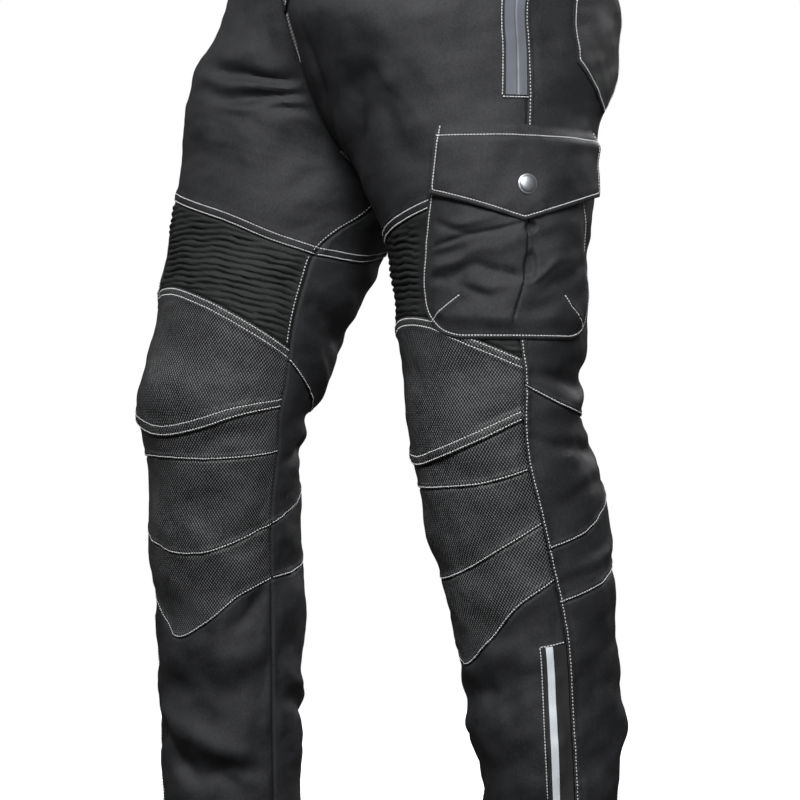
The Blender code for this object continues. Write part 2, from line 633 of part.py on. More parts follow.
def snap(name, centre, normal):
    """A domed press-stud cap, seated on the cloth."""
    rim, dome = SNAP_HEIGHT * 0.35, SNAP_HEIGHT
    profile = [(0.0, 0.0), (SNAP_RADIUS * 0.94, 0.0), (SNAP_RADIUS, rim * 0.5), (SNAP_RADIUS * 0.96, rim)]
    profile += [(SNAP_RADIUS * 0.96 * math.cos(a), rim + (dome - rim) * math.sin(a))
                for a in np.radians([25, 50, 72])]
    profile.append((0.0, dome))
    mesh = bmesh.new()
    ring = [mesh.verts.new((r, 0, z)) for r, z in profile]
    edges = [mesh.edges.new(pair) for pair in zip(ring, ring[1:])]
    bmesh.ops.spin(mesh, geom=ring + edges, cent=(0, 0, 0), axis=(0, 0, 1),
                   angle=2 * math.pi, steps=16, use_merge=True)
    piece = finish(name, mesh, "metal")
    piece.rotation_euler = Vector(normal).to_track_quat("Z", "Y").to_euler()
    piece.location = Vector(centre) + Vector(normal) * SEAM_GAP
    return piece


def flap_snap(leg):
    drop = np.array(SNAP_DROP)
    wrap = leg.wrap_at(0.0, drop)
    normal, _ = leg.direction(wrap, drop)
    centre = leg.point(wrap, drop, flap_lift(drop) + FLAP_CLOTH + 0.0002)
    snap(f"flap_snap_{leg.name}", centre, normal)


def strip(leg, name, columns, top, bottom, steps, under, cloth, slot):
    """A straight strip in front of the side seam. columns are distances from that seam."""
    drops = np.broadcast_to(np.linspace(top, bottom, steps + 1)[:, None], (steps + 1, len(columns)))
    distances = np.broadcast_to(-np.array(columns), drops.shape)
    patch(leg, f"{name}_{leg.name}", distances, drops, under, under + cloth, slot)


def slider(leg, name, distance, drop, under):
    """A zip slider with its short cord pull, as one plain piece lying on the zip."""
    across = np.array([-1.0, -0.4, 0.4, 1.0])
    down = np.array([0, 0.18, 0.36, 0.46, 0.92, 1.0])
    width = np.array([0.0030, 0.0042, 0.0036, 0.0016, 0.0016, 0.0010])
    height = np.array([0.0016, 0.0030, 0.0026, 0.0018, 0.0018, 0.0012])
    drops = np.broadcast_to((drop + 0.030 * down)[:, None], (6, 4))
    distances = across * width[:, None] - distance
    lift = under + height[:, None] * (1 - 0.5 * across**2)
    patch(leg, f"{name}_{leg.name}", distances, drops, under, lift, "metal")


def zips(leg):
    on_cloth = SEAM_GAP + 0.0002
    on_tape = on_cloth + PATCH_CLOTH + SEAM_GAP
    strip(leg, "hip_zip", (HIP_ZIP_WIDTH, HIP_ZIP_WIDTH / 2, 0.0015), BAND_BOTTOM + 0.004,
          HIP_ZIP_BOTTOM, 10, on_cloth, PATCH_CLOTH, "zip_tape")
    slider(leg, "hip_slider", HIP_ZIP_WIDTH / 2, BAND_BOTTOM + 0.012, on_tape)
    piping = (ANKLE_ZIP_WIDTH - 0.003, ANKLE_ZIP_WIDTH - 0.003 - STRIP_WIDTH)
    ends = (ANKLE_ZIP_TOP, HEM - 0.001, 10)
    strip(leg, "ankle_zip", (ANKLE_ZIP_WIDTH,) + piping + (0.008, 0.0015), *ends, on_cloth,
          PATCH_CLOTH, "dark_tape")
    strip(leg, "reflective_strip", piping, *ends, on_tape, 0.0008, "reflective")
    slider(leg, "ankle_slider", 0.008, HEM - 0.045, on_tape)


def back_pocket(leg):
    """The hip patch pocket, with a shallow point at its foot."""
    across = np.linspace(0, 1, 9)
    foot = BACK_POCKET_SIDE + (BACK_POCKET_POINT - BACK_POCKET_SIDE) * (1 - np.abs(2 * across - 1))
    drops = BACK_POCKET_TOP + np.linspace(0, 1, 10)[:, None] * (foot - BACK_POCKET_TOP)
    distances = np.broadcast_to(BACK_POCKET_NEAR + across * BACK_POCKET_WIDTH, drops.shape)
    patch(leg, f"back_pocket_{leg.name}", distances, drops, LAY_GAP, LAY_GAP + PATCH_CLOTH, "shell_cloth")


def waistband(right, left):
    """A doubled band round the waist. Its left end laps over its right end at the front."""
    drops = np.linspace(BAND_TOP, BAND_BOTTOM - CROSS_SEAM_GAP / 2, 3)
    half = np.linspace(0, 2, 2 * FRONT_COLUMNS + 1)
    over = BAND_CLOTH + SEAM_GAP
    # Stops round the waist: the leg, its wrap, and how far the band has climbed over its own end
    stops = [(right, wrap, 0.0) for wrap in half[:-1]]
    stops += [(left, wrap, 0.0) for wrap in half[:1:-1]]
    stops += [(left, half[1], 0.5), (left, 0.0, 1.0), (right, half[1], 1.0), (right, BAND_LAP, 1.0)]
    outer, inner = [], []
    for leg, wrap, share in stops:
        wraps = np.full(3, wrap)
        lift = BAND_RISE + share * over
        outer.append(leg.point(wraps, drops, lift))
        inner.append(leg.point(wraps, drops, lift - BAND_CLOTH))
    sheet("waistband", np.swapaxes(outer, 0, 1), np.swapaxes(inner, 0, 1), "shell_cloth")
    wrap, drop = np.array(BAND_LAP - 0.050), np.array(0.0)
    normal, _ = right.direction(wrap, drop)
    snap("waist_snap", right.point(wrap, drop, BAND_RISE + over + SEAM_GAP), normal)


def fly(left):
    """The fly lap on the left front, with its J-shaped lower end."""
    drops = np.array([0.021, 0.038, 0.055, 0.072, 0.090, 0.106, 0.122, 0.136, 0.145, FLY_BOTTOM])
    turn = np.clip((drops - 0.100) / (FLY_BOTTOM - 0.100), 0, 1)
    width = FLY_WIDTH * np.sqrt(1 - 0.94 * turn**2)
    _, length = left.direction(np.full(len(drops), 0.06), drops)
    wraps = 0.002 + (width / length)[:, None] * np.linspace(0, 1, 5)
    drops = np.broadcast_to(drops[:, None], wraps.shape)
    lay(left, "fly_left", wraps, drops, LAY_GAP, LAY_GAP + PATCH_CLOTH, "shell_cloth")


def main():
    for old in list(bpy.data.objects):
        bpy.data.objects.remove(old)
    left = Leg("left", 1, LEFT_LEG, LEFT_SEAMS)
    right = Leg("right", -1, RIGHT_LEG, RIGHT_SEAMS)
    for leg in (left, right):
        leg_panels(leg)
        cargo_pocket(leg)
        cargo_flap(leg)
        flap_snap(leg)
        zips(leg)
        back_pocket(leg)
    waistband(right, left)
    fly(left)


main()
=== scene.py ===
"""The looks of the motorcycle trousers: fine cloth, sewing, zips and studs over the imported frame.

Metres, +Z up. The wearer faces -Y, so the left leg is at +X. The origin is the centre of the
waistband. A point of the cloth is named by a leg, a wrap and a drop. Drop is the garment's length
below the waistband's centre. Wrap goes round the leg from its front edge: 0 is the centre front
and then the inseam, 1 is the side seam, 2 is the centre back and then the inseam again.
"""

import math
from collections import namedtuple

import bpy
import numpy as np
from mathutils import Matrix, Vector


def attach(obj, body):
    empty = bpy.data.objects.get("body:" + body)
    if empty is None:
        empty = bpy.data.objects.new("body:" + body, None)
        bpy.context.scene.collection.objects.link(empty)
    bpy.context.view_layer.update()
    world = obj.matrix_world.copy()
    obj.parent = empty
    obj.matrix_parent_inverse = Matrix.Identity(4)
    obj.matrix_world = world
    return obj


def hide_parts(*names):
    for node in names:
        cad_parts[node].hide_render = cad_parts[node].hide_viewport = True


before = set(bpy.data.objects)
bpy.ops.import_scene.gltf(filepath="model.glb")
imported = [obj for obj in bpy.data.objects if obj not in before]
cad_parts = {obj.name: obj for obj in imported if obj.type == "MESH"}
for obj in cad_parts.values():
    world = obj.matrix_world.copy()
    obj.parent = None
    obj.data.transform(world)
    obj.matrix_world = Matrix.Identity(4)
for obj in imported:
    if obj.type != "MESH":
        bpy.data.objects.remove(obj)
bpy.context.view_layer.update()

# Cloth walls and seams
CLOTH = 0.0016
BAND_CLOTH = 0.0030
PATCH_CLOTH = 0.0012
SEAM_GAP = 0.0003
LAY_GAP = 0.0008
CROSS_SEAM_GAP = 0.0004

# Lengths down the garment
BAND_TOP = -0.020
BAND_BOTTOM = 0.020
CROTCH = 0.310
HEM = 0.990

# Gathered stretch panel above the knee
RIB_PITCH = 0.0065
RIB_HEIGHT = 0.0022
RIB_DEPTH = 1.25
RIB_ROUNDNESS = 0.70
RIB_MEAN = 0.62
RIBS_BESIDE_POCKET = 0.014
KNEE_LAP_RISE = 0.0020

# Cargo pocket and its flap, measured from the side seam and down from the waist
POCKET_FRONT_TOP_WIDTH = 0.086
POCKET_FRONT_WIDTH = 0.097
POCKET_REAR_TOP_WIDTH = 0.070
POCKET_REAR_WIDTH = 0.096
POCKET_TOP = 0.284
POCKET_BOTTOM = 0.468
POCKET_CORNER = 0.045
POCKET_RIM = 0.0022
POCKET_BULGE = 0.0055
FLAP_FRONT_WIDTH = 0.087
FLAP_REAR_WIDTH = 0.098
FLAP_TOP = 0.268
FLAP_SIDE = 0.331
FLAP_POINT = 0.358
FLAP_STAND_OFF = 0.0070
FLAP_CLOTH = 0.0020
SNAP_RADIUS = 0.0098
SNAP_DOME = 0.0081
SNAP_DROP = 0.3245

# Zips and strips
HIP_ZIP_WIDTH = 0.023
HIP_ZIP_BOTTOM = 0.240
ANKLE_ZIP_WIDTH = 0.024
ANKLE_ZIP_TOP = 0.757
STRIP_WIDTH = 0.0065
HIP_ZIP_ROW = 0.0265
ANKLE_ZIP_ROW = 0.0260
SLIDER_LENGTH = 0.030

# A slider and its pull: share of the length, half width and height
SLIDER_PROFILE = (
    (0.00, 0.0020, 0.0010),
    (0.05, 0.0030, 0.0022),
    (0.18, 0.0042, 0.0030),
    (0.30, 0.0040, 0.0030),
    (0.36, 0.0036, 0.0026),
    (0.42, 0.0022, 0.0020),
    (0.46, 0.0016, 0.0018),
    (0.60, 0.0016, 0.0018),
    (0.75, 0.0016, 0.0018),
    (0.92, 0.0016, 0.0018),
    (0.97, 0.0013, 0.0016),
    (1.00, 0.0008, 0.0008),
)

# The fly
FLY_WIDTH = 0.040
FLY_BOTTOM = 0.150
FLY_TURN = 0.100

# Back pocket, measured behind the side seam and down from the waist
BACK_POCKET_NEAR = 0.062
BACK_POCKET_WIDTH = 0.116
BACK_POCKET_TOP = 0.075
BACK_POCKET_SIDE = 0.205
BACK_POCKET_POINT = 0.250

# How far the waistband's face stands proud of the panels, and where its lapped end stops
BAND_RISE = 0.0006
BAND_LAP = 0.140
BAND_CLIMB = 0.17
STEP = 1e-4

# Camera, light and floor
CAMERA_AZIMUTH = 55
CAMERA_LENS = 139.05
CAMERA_PLACE = (2.5038, -1.7592, -0.5246)
FLOOR_LEVEL = -1.07
FLOOR_RADIUS = 2.4
FLOOR_GLOW = 0.85
WORLD_LIGHT = 0.07
LAMPS = (
    ("key", (1.3, -1.9, 1.5), (0.8, 0.8), 54),
    ("near_left_hip", (1.2, -0.7, 0.6), (0.5, 0.5), 20),
    ("camera_side", (2.8, -0.9, 0.5), (0.7, 1.0), 13),
    ("back", (-0.9, 2.4, 1.6), (1.4, 1.2), 80),
    ("left_front", (-2.4, -1.4, 1.2), (1.0, 1.2), 10),
)

Section = namedtuple("Section", "drop x y z half_width front back lean")

# Sections that both legs share. x, y and z are the section's centre.
HIPS = (
    Section(-0.025, 0.000, 0.000, 0.025, 0.168, 0.126, 0.134, 0),
    Section(0.000, 0.000, 0.000, 0.000, 0.170, 0.129, 0.138, 0),
    Section(0.030, 0.008, 0.001, -0.030, 0.170, 0.136, 0.148, 0),
    Section(0.070, 0.027, 0.004, -0.070, 0.158, 0.147, 0.168, 0),
    Section(0.120, 0.050, 0.008, -0.120, 0.145, 0.158, 0.182, 0),
    Section(0.160, 0.066, 0.004, -0.160, 0.134, 0.161, 0.184, 0),
)
LEFT_LEG = (
    Section(0.200, 0.081, 0.010, -0.200, 0.123, 0.146, 0.164, 0),
    Section(0.240, 0.095, 0.012, -0.240, 0.114, 0.127, 0.140, 0),
    Section(0.280, 0.105, 0.012, -0.280, 0.108, 0.117, 0.122, 0),
    Section(0.310, 0.108, 0.012, -0.310, 0.107, 0.112, 0.115, 0),
    Section(0.365, 0.116, 0.013, -0.365, 0.103, 0.097, 0.098, 0),
    Section(0.423, 0.122, 0.015, -0.423, 0.099, 0.090, 0.090, 0),
    Section(0.500, 0.130, 0.012, -0.500, 0.091, 0.084, 0.084, 0),
    Section(0.540, 0.132, 0.012, -0.539, 0.088, 0.084, 0.082, -2),
    Section(0.580, 0.135, 0.021, -0.578, 0.084, 0.088, 0.089, -6),
    Section(0.620, 0.139, 0.031, -0.617, 0.082, 0.091, 0.089, -8),
    Section(0.680, 0.144, 0.040, -0.676, 0.079, 0.087, 0.086, -7),
    Section(0.740, 0.149, 0.047, -0.735, 0.076, 0.081, 0.081, -6),
    Section(0.800, 0.153, 0.053, -0.794, 0.073, 0.077, 0.077, -4),
    Section(0.860, 0.157, 0.057, -0.853, 0.071, 0.072, 0.072, -3),
    Section(0.920, 0.161, 0.058, -0.913, 0.069, 0.066, 0.064, -2),
    Section(0.990, 0.166, 0.059, -0.983, 0.069, 0.063, 0.062, -1),
)
RIGHT_LEG = (
    Section(0.200, 0.081, -0.011, -0.200, 0.124, 0.163, 0.165, 2),
    Section(0.240, 0.095, -0.028, -0.240, 0.115, 0.149, 0.142, 5),
    Section(0.280, 0.104, -0.043, -0.280, 0.111, 0.135, 0.126, 8),
    Section(0.312, 0.109, -0.055, -0.312, 0.109, 0.125, 0.116, 11),
    Section(0.382, 0.118, -0.077, -0.380, 0.104, 0.107, 0.099, 14),
    Section(0.425, 0.123, -0.089, -0.421, 0.099, 0.101, 0.095, 16),
    Section(0.469, 0.128, -0.101, -0.460, 0.095, 0.095, 0.091, 16),
    Section(0.513, 0.134, -0.112, -0.501, 0.092, 0.091, 0.088, 14),
    Section(0.556, 0.137, -0.125, -0.541, 0.088, 0.088, 0.082, 8),
    Section(0.577, 0.139, -0.124, -0.562, 0.086, 0.083, 0.080, 4),
    Section(0.619, 0.142, -0.122, -0.602, 0.082, 0.074, 0.075, 0),
    Section(0.660, 0.146, -0.120, -0.642, 0.080, 0.075, 0.077, -3),
    Section(0.741, 0.152, -0.110, -0.723, 0.077, 0.074, 0.076, -4),
    Section(0.802, 0.155, -0.106, -0.784, 0.076, 0.072, 0.073, -3),
    Section(0.863, 0.158, -0.103, -0.845, 0.075, 0.070, 0.070, -3),
    Section(0.943, 0.162, -0.099, -0.925, 0.075, 0.071, 0.071, -2),
    Section(0.990, 0.165, -0.096, -0.972, 0.074, 0.070, 0.070, -1),
)

# Where the side seam and the inseam run, as angles round the section: 0 is outward, -90 is front.
# The right leg is turned out, so its seams lie further forward on the inside.
SeamAngle = namedtuple("SeamAngle", "drop side inseam")
LEFT_SEAMS = (
    SeamAngle(-0.025, 0, -180),
    SeamAngle(0.150, -2, -180),
    SeamAngle(0.225, -7, -180),
    SeamAngle(0.310, -13, -180),
    SeamAngle(0.380, -20, -186),
    SeamAngle(0.450, -24, -190),
    SeamAngle(0.510, -19, -190),
    SeamAngle(0.580, -21, -190),
    SeamAngle(0.660, -19, -185),
    SeamAngle(0.750, -15, -177),
    SeamAngle(0.850, -18, -178),
    SeamAngle(0.990, -19, -180),
)
RIGHT_SEAMS = (
    SeamAngle(-0.025, 0, -180),
    SeamAngle(0.150, -2, -180),
    SeamAngle(0.225, 0, -172),
    SeamAngle(0.310, 3, -167),
    SeamAngle(0.400, 2, -170),
    SeamAngle(0.460, 0, -173),
    SeamAngle(0.500, -5, -178),
    SeamAngle(0.550, -13, -186),
    SeamAngle(0.660, -17, -184),
    SeamAngle(0.760, -23, -181),
    SeamAngle(0.850, -22, -181),
    SeamAngle(0.990, -20, -181),
)

# The seam between the two legs, in the plane x = 0, down to the point where the inseams begin
CentreSeam = namedtuple("CentreSeam", "drop front back")
CENTRE_SEAM = (
    CentreSeam(-0.025, -0.126, 0.134),
    CentreSeam(0.000, -0.129, 0.138),
    CentreSeam(0.060, -0.141, 0.162),
    CentreSeam(0.120, -0.146, 0.180),
    CentreSeam(0.160, -0.138, 0.181),
    CentreSeam(0.200, -0.121, 0.166),
    CentreSeam(0.240, -0.103, 0.138),
    CentreSeam(0.270, -0.083, 0.104),
    CentreSeam(0.290, -0.063, 0.066),
    CentreSeam(0.303, -0.042, 0.024),
    CentreSeam(0.310, -0.020, -0.020),
)

# Seams across a leg: drops at seven even steps from the inseam to the side seam, front then back
AcrossSeam = namedtuple("AcrossSeam", "name inseam inner front_inner front front_outer outer side")
FRONT_SEAMS = (
    AcrossSeam("gather_top", 0.390, 0.386, 0.374, 0.362, 0.347, 0.330, 0.315),
    AcrossSeam("gather_bottom", 0.487, 0.471, 0.456, 0.446, 0.449, 0.467, 0.486),
    AcrossSeam("knee_lap", 0.545, 0.560, 0.574, 0.580, 0.573, 0.560, 0.543),
    AcrossSeam("band_bottom", 0.591, 0.598, 0.601, 0.600, 0.599, 0.597, 0.589),
    AcrossSeam("mid_bottom", 0.666, 0.681, 0.690, 0.688, 0.677, 0.659, 0.640),
    AcrossSeam("tip_bottom", 0.720, 0.734, 0.760, 0.774, 0.750, 0.716, 0.695),
)
BACK_SEAMS = (
    AcrossSeam("seat_bottom", 0.390, 0.381, 0.358, 0.338, 0.325, 0.318, 0.315),
    AcrossSeam("thigh_bottom", 0.498, 0.527, 0.540, 0.545, 0.542, 0.533, 0.512),
    AcrossSeam("hollow_bottom", 0.666, 0.646, 0.624, 0.618, 0.633, 0.655, 0.665),
    AcrossSeam("calf_band_bottom", 0.720, 0.714, 0.696, 0.688, 0.694, 0.707, 0.717),
)

# The largest folds, as soft ridges (+) and troughs (-) between two points of the cloth
Fold = namedtuple("Fold", "leg wrap_a drop_a wrap_b drop_b width height")
FOLDS = (
    Fold("right", 0.02, 0.212, 0.45, 0.203, 0.010, -0.005),
    Fold("right", 0.02, 0.228, 0.42, 0.236, 0.010, -0.005),
    Fold("right", 0.03, 0.262, 0.27, 0.310, 0.010, -0.005),
    Fold("right", 0.14, 0.300, 0.22, 0.340, 0.009, -0.003),
    Fold("left", 0.50, 0.200, 0.31, 0.242, 0.014, -0.004),
    Fold("left", 0.31, 0.242, 0.25, 0.305, 0.014, -0.005),
    Fold("left", 0.28, 0.160, 0.09, 0.275, 0.012, -0.004),
    Fold("left", 1.40, 0.268, 1.80, 0.305, 0.014, -0.006),
    Fold("right", 1.40, 0.268, 1.80, 0.305, 0.014, -0.006),
    Fold("left", 1.20, 0.500, 1.75, 0.505, 0.013, -0.006),
    Fold("right", 1.25, 0.550, 1.85, 0.548, 0.013, -0.007),
    Fold("right", 1.50, 0.430, 1.90, 0.460, 0.013, -0.004),
    Fold("left", 1.15, 0.600, 1.55, 0.570, 0.012, -0.004),
    Fold("right", 1.60, 0.610, 1.90, 0.585, 0.012, -0.004),
    Fold("left", 0.25, 0.850, 0.85, 0.815, 0.015, 0.003),
    Fold("left", 0.20, 0.890, 0.80, 0.855, 0.015, -0.003),
    Fold("right", 0.15, 0.890, 0.80, 0.840, 0.014, 0.004),
    Fold("right", 0.10, 0.920, 0.75, 0.880, 0.013, -0.004),
    Fold("right", 1.20, 0.820, 1.80, 0.870, 0.015, -0.003),
    Fold("left", 1.20, 0.800, 1.75, 0.860, 0.015, -0.003),
    Fold("left", 1.20, 0.930, 1.80, 0.900, 0.014, -0.003),
)
FOLD_WRAP_LENGTH = 0.26

# Away from a half's edge the cloth follows that edge's angle averaged over this stretch
EDGE_AVERAGE = np.linspace(-0.030, 0.030, 7)
EDGE_REACH = 0.20

# The pull onto the centre seam: its reach in wrap, and how far below the crotch it ends
PULL_REACH = 0.5
PULL_END = 0.05

# Fine cloth
GRID_STEP = 0.0031
RIB_GRID_STEP = 0.0011
BESIDE_SEAM = np.array([
    0, 0.0006, 0.0013, 0.0021, 0.0031, 0.0043, 0.0058, 0.0070, 0.0079, 0.0088, 0.0104, 0.0126,
])
FOLD_WANDER = 0.0045
SEAM_DITCH = 0.0013
SEAM_TURN = 0.0034
SEAM_THICK = 0.0009
LAP_EDGE = 0.0007
THREAD_DENT = 0.0005
PUCKER = 0.00045
PUCKER_LENGTH = 0.012

# Sewing thread: distance from one stitch to the next, and the gap between two
TOP_PITCH = 0.0030
TOP_GAP = 0.0003
DASH_PITCH = 0.0033
DASH_GAP = 0.0011
THREAD_RADIUS = 0.00052
THREAD_LIFT = 0.00030
THREAD_DIP = 0.00025
DOUBLE_ROW = (0.0015, 0.0079)
KNEE_TOP_ROWS = (0.0020, 0.0084)
SINGLE_ROW = (0.0015,)
HEM_ROW = (0.020,)
SIDE_ROW = (0.0022,)
ROW_INSET = 0.0034
FLAP_ROW = 0.0105
CENTRE_ROWS = (0.0040, 0.0100)
CENTRE_ROW_START = FLY_BOTTOM + 0.003
CENTRE_ROW_END = 0.200
INSEAM_ROWS = (("front", 0.0045, 0.282, 0.386), ("gathered_panel", 0.0045, 0.392, 0.484))

# Finer creases than the folds above: the thighs, the knees, the shins, then the back
CREASES = (
    Fold("right", 0.02, 0.214, 0.30, 0.209, 0.0060, -0.0050),
    Fold("right", 0.02, 0.222, 0.26, 0.221, 0.0060, 0.0030),
    Fold("right", 0.02, 0.231, 0.28, 0.240, 0.0060, -0.0045),
    Fold("right", 0.02, 0.239, 0.26, 0.251, 0.0060, 0.0025),
    Fold("right", 0.02, 0.249, 0.18, 0.246, 0.0070, -0.0060),
    Fold("right", 0.02, 0.268, 0.13, 0.302, 0.0055, -0.0045),
    Fold("right", 0.04, 0.282, 0.16, 0.310, 0.0070, 0.0025),
    Fold("right", 0.03, 0.170, 0.16, 0.196, 0.0100, -0.0030),
    Fold("right", 0.30, 0.150, 0.55, 0.230, 0.0180, 0.0030),
    Fold("right", 0.20, 0.330, 0.60, 0.300, 0.0180, -0.0025),
    Fold("left", 0.46, 0.205, 0.34, 0.235, 0.0090, -0.0040),
    Fold("left", 0.34, 0.235, 0.27, 0.295, 0.0090, -0.0045),
    Fold("left", 0.50, 0.215, 0.36, 0.300, 0.0110, 0.0028),
    Fold("left", 0.22, 0.150, 0.13, 0.272, 0.0045, -0.0022),
    Fold("left", 0.62, 0.262, 0.36, 0.180, 0.0120, 0.0020),
    Fold("left", 0.60, 0.300, 0.42, 0.250, 0.0100, -0.0024),
    Fold("left", 0.80, 0.100, 0.50, 0.170, 0.0160, -0.0020),
    Fold("left", 0.35, 0.500, 0.75, 0.507, 0.0120, -0.0022),
    Fold("left", 0.58, 0.578, 0.88, 0.598, 0.0110, -0.0040),
    Fold("left", 0.20, 0.640, 0.65, 0.660, 0.0200, 0.0022),
    Fold("left", 0.60, 0.700, 0.85, 0.640, 0.0140, -0.0025),
    Fold("right", 0.10, 0.572, 0.36, 0.592, 0.0110, -0.0040),
    Fold("right", 0.15, 0.630, 0.55, 0.660, 0.0160, -0.0025),
    Fold("right", 0.20, 0.700, 0.50, 0.640, 0.0140, 0.0022),
    Fold("left", 0.25, 0.800, 0.78, 0.762, 0.0140, 0.0034),
    Fold("left", 0.18, 0.835, 0.62, 0.795, 0.0150, -0.0042),
    Fold("left", 0.55, 0.805, 0.86, 0.776, 0.0070, -0.0026),
    Fold("left", 0.35, 0.880, 0.86, 0.842, 0.0180, 0.0034),
    Fold("left", 0.12, 0.920, 0.62, 0.868, 0.0160, -0.0045),
    Fold("left", 0.40, 0.950, 0.85, 0.905, 0.0130, -0.0030),
    Fold("right", 0.03, 0.735, 0.22, 0.762, 0.0080, -0.0036),
    Fold("right", 0.05, 0.800, 0.60, 0.770, 0.0160, 0.0034),
    Fold("right", 0.04, 0.842, 0.80, 0.810, 0.0160, -0.0040),
    Fold("right", 0.08, 0.898, 0.75, 0.848, 0.0120, 0.0044),
    Fold("right", 0.12, 0.932, 0.80, 0.878, 0.0110, -0.0046),
    Fold("right", 0.02, 0.916, 0.28, 0.902, 0.0090, -0.0034),
    Fold("right", 1.97, 0.335, 1.60, 0.362, 0.0120, 0.0040),
    Fold("right", 1.97, 0.428, 1.62, 0.470, 0.0110, -0.0055),
    Fold("right", 1.97, 0.458, 1.70, 0.520, 0.0090, 0.0032),
    Fold("right", 1.96, 0.602, 1.65, 0.580, 0.0090, -0.0044),
    Fold("right", 1.97, 0.812, 1.70, 0.842, 0.0080, 0.0030),
    Fold("right", 1.97, 0.832, 1.60, 0.872, 0.0100, -0.0042),
    Fold("left", 1.03, 0.500, 1.36, 0.516, 0.0075, -0.0042),
    Fold("left", 1.05, 0.530, 1.50, 0.522, 0.0090, 0.0030),
    Fold("left", 1.04, 0.560, 1.40, 0.592, 0.0085, -0.0042),
    Fold("left", 1.08, 0.625, 1.50, 0.602, 0.0100, -0.0034),
    Fold("left", 1.04, 0.690, 1.45, 0.672, 0.0100, 0.0026),
    Fold("left", 1.30, 0.110, 1.70, 0.185, 0.0150, 0.0030),
    Fold("right", 1.30, 0.125, 1.75, 0.205, 0.0150, -0.0030),
    Fold("left", 1.20, 0.290, 1.80, 0.332, 0.0100, -0.0052),
    Fold("right", 1.20, 0.282, 1.80, 0.336, 0.0100, -0.0052),
    Fold("left", 1.25, 0.360, 1.80, 0.382, 0.0110, 0.0032),
    Fold("right", 1.30, 0.362, 1.85, 0.392, 0.0110, 0.0032),
    Fold("left", 1.20, 0.762, 1.70, 0.782, 0.0140, -0.0032),
    Fold("right", 1.20, 0.752, 1.75, 0.792, 0.0140, 0.0032),
    Fold("left", 1.30, 0.852, 1.80, 0.884, 0.0150, 0.0034),
    Fold("right", 1.30, 0.902, 1.80, 0.934, 0.0150, -0.0034),
    Fold("right", 0.60, 0.205, 0.92, 0.245, 0.0130, -0.0026),
    Fold("right", 0.80, 0.505, 0.96, 0.530, 0.0090, -0.0032),
    Fold("right", 1.04, 0.520, 1.40, 0.545, 0.0090, -0.0036),
)

# Folds of the cargo pocket, by distance behind the side seam and drop
PocketFold = namedtuple("PocketFold", "distance_a drop_a distance_b drop_b width height")
POCKET_FOLDS = (
    PocketFold(-0.085, 0.381, -0.046, 0.371, 0.0034, -0.0032),
    PocketFold(-0.046, 0.371, 0.003, 0.359, 0.0030, -0.0030),
    PocketFold(-0.083, 0.357, -0.050, 0.369, 0.0040, -0.0026),
    PocketFold(-0.070, 0.362, -0.020, 0.352, 0.0050, 0.0020),
    PocketFold(-0.088, 0.392, -0.044, 0.385, 0.0060, -0.0030),
    PocketFold(-0.060, 0.394, 0.000, 0.374, 0.0070, 0.0026),
    PocketFold(-0.090, 0.414, -0.066, 0.411, 0.0050, -0.0034),
    PocketFold(-0.066, 0.411, -0.038, 0.402, 0.0056, -0.0044),
    PocketFold(-0.038, 0.402, -0.020, 0.402, 0.0060, -0.0044),
    PocketFold(-0.020, 0.402, 0.000, 0.413, 0.0060, -0.0040),
    PocketFold(-0.078, 0.402, -0.050, 0.396, 0.0050, 0.0022),
    PocketFold(-0.060, 0.420, -0.012, 0.416, 0.0070, 0.0028),
    PocketFold(-0.056, 0.417, -0.030, 0.426, 0.0045, -0.0024),
    PocketFold(-0.070, 0.450, -0.010, 0.436, 0.0110, 0.0016),
    PocketFold(0.000, 0.417, 0.038, 0.394, 0.0040, 0.0020),
    PocketFold(0.010, 0.372, 0.060, 0.352, 0.0080, 0.0014),
    PocketFold(0.020, 0.424, 0.064, 0.402, 0.0080, -0.0022),
    PocketFold(0.008, 0.448, 0.040, 0.430, 0.0070, -0.0020),
)
PLEAT_MOUTHS = ((0.0070, 0.364, 0.0070, 0.0065), (0.0085, 0.400, 0.0078, 0.0170))
DARTS = (
    ((-0.086, 0.452), (-0.052, 0.4255)),
    ((0.074, 0.456), (0.064, 0.447), (0.053, 0.437), (0.0445, 0.4255)),
)


def through(knots, values, at):
    """A smooth curve through the values at the knots, read at the points wanted."""
    knots = np.asarray(knots, float)
    values = np.asarray(values, float)
    at = np.clip(np.asarray(at, float), knots[0], knots[-1])
    slopes = np.gradient(values, knots)
    i = np.clip(np.searchsorted(knots, at, side="right") - 1, 0, len(knots) - 2)
    span = knots[i + 1] - knots[i]
    t = (at - knots[i]) / span
    start = (1 + 2 * t) * (1 - t) ** 2 * values[i] + t * (1 - t) ** 2 * span * slopes[i]
    end = t * t * (3 - 2 * t) * values[i + 1] + t * t * (t - 1) * span * slopes[i + 1]
    return start + end


def ease(t):
    """0 to 1, starting and ending level."""
    t = np.clip(t, 0, 1)
    return t * t * (3 - 2 * t)


def unevenness(x, y, scale, seed):
    """Soft wandering values between about -1 and 1, over the cloth's own length and width."""
    draw = np.random.default_rng(seed)
    total = np.zeros(np.broadcast(x, y).shape)
    waves = 9
    for _ in range(waves):
        turn = draw.uniform(0, 2 * math.pi)
        size = scale * draw.uniform(0.7, 1.6)
        start = draw.uniform(0, 2 * math.pi)
        total = total + np.sin((x * math.cos(turn) + y * math.sin(turn)) * 2 * math.pi / size + start)
    return total / math.sqrt(waves)


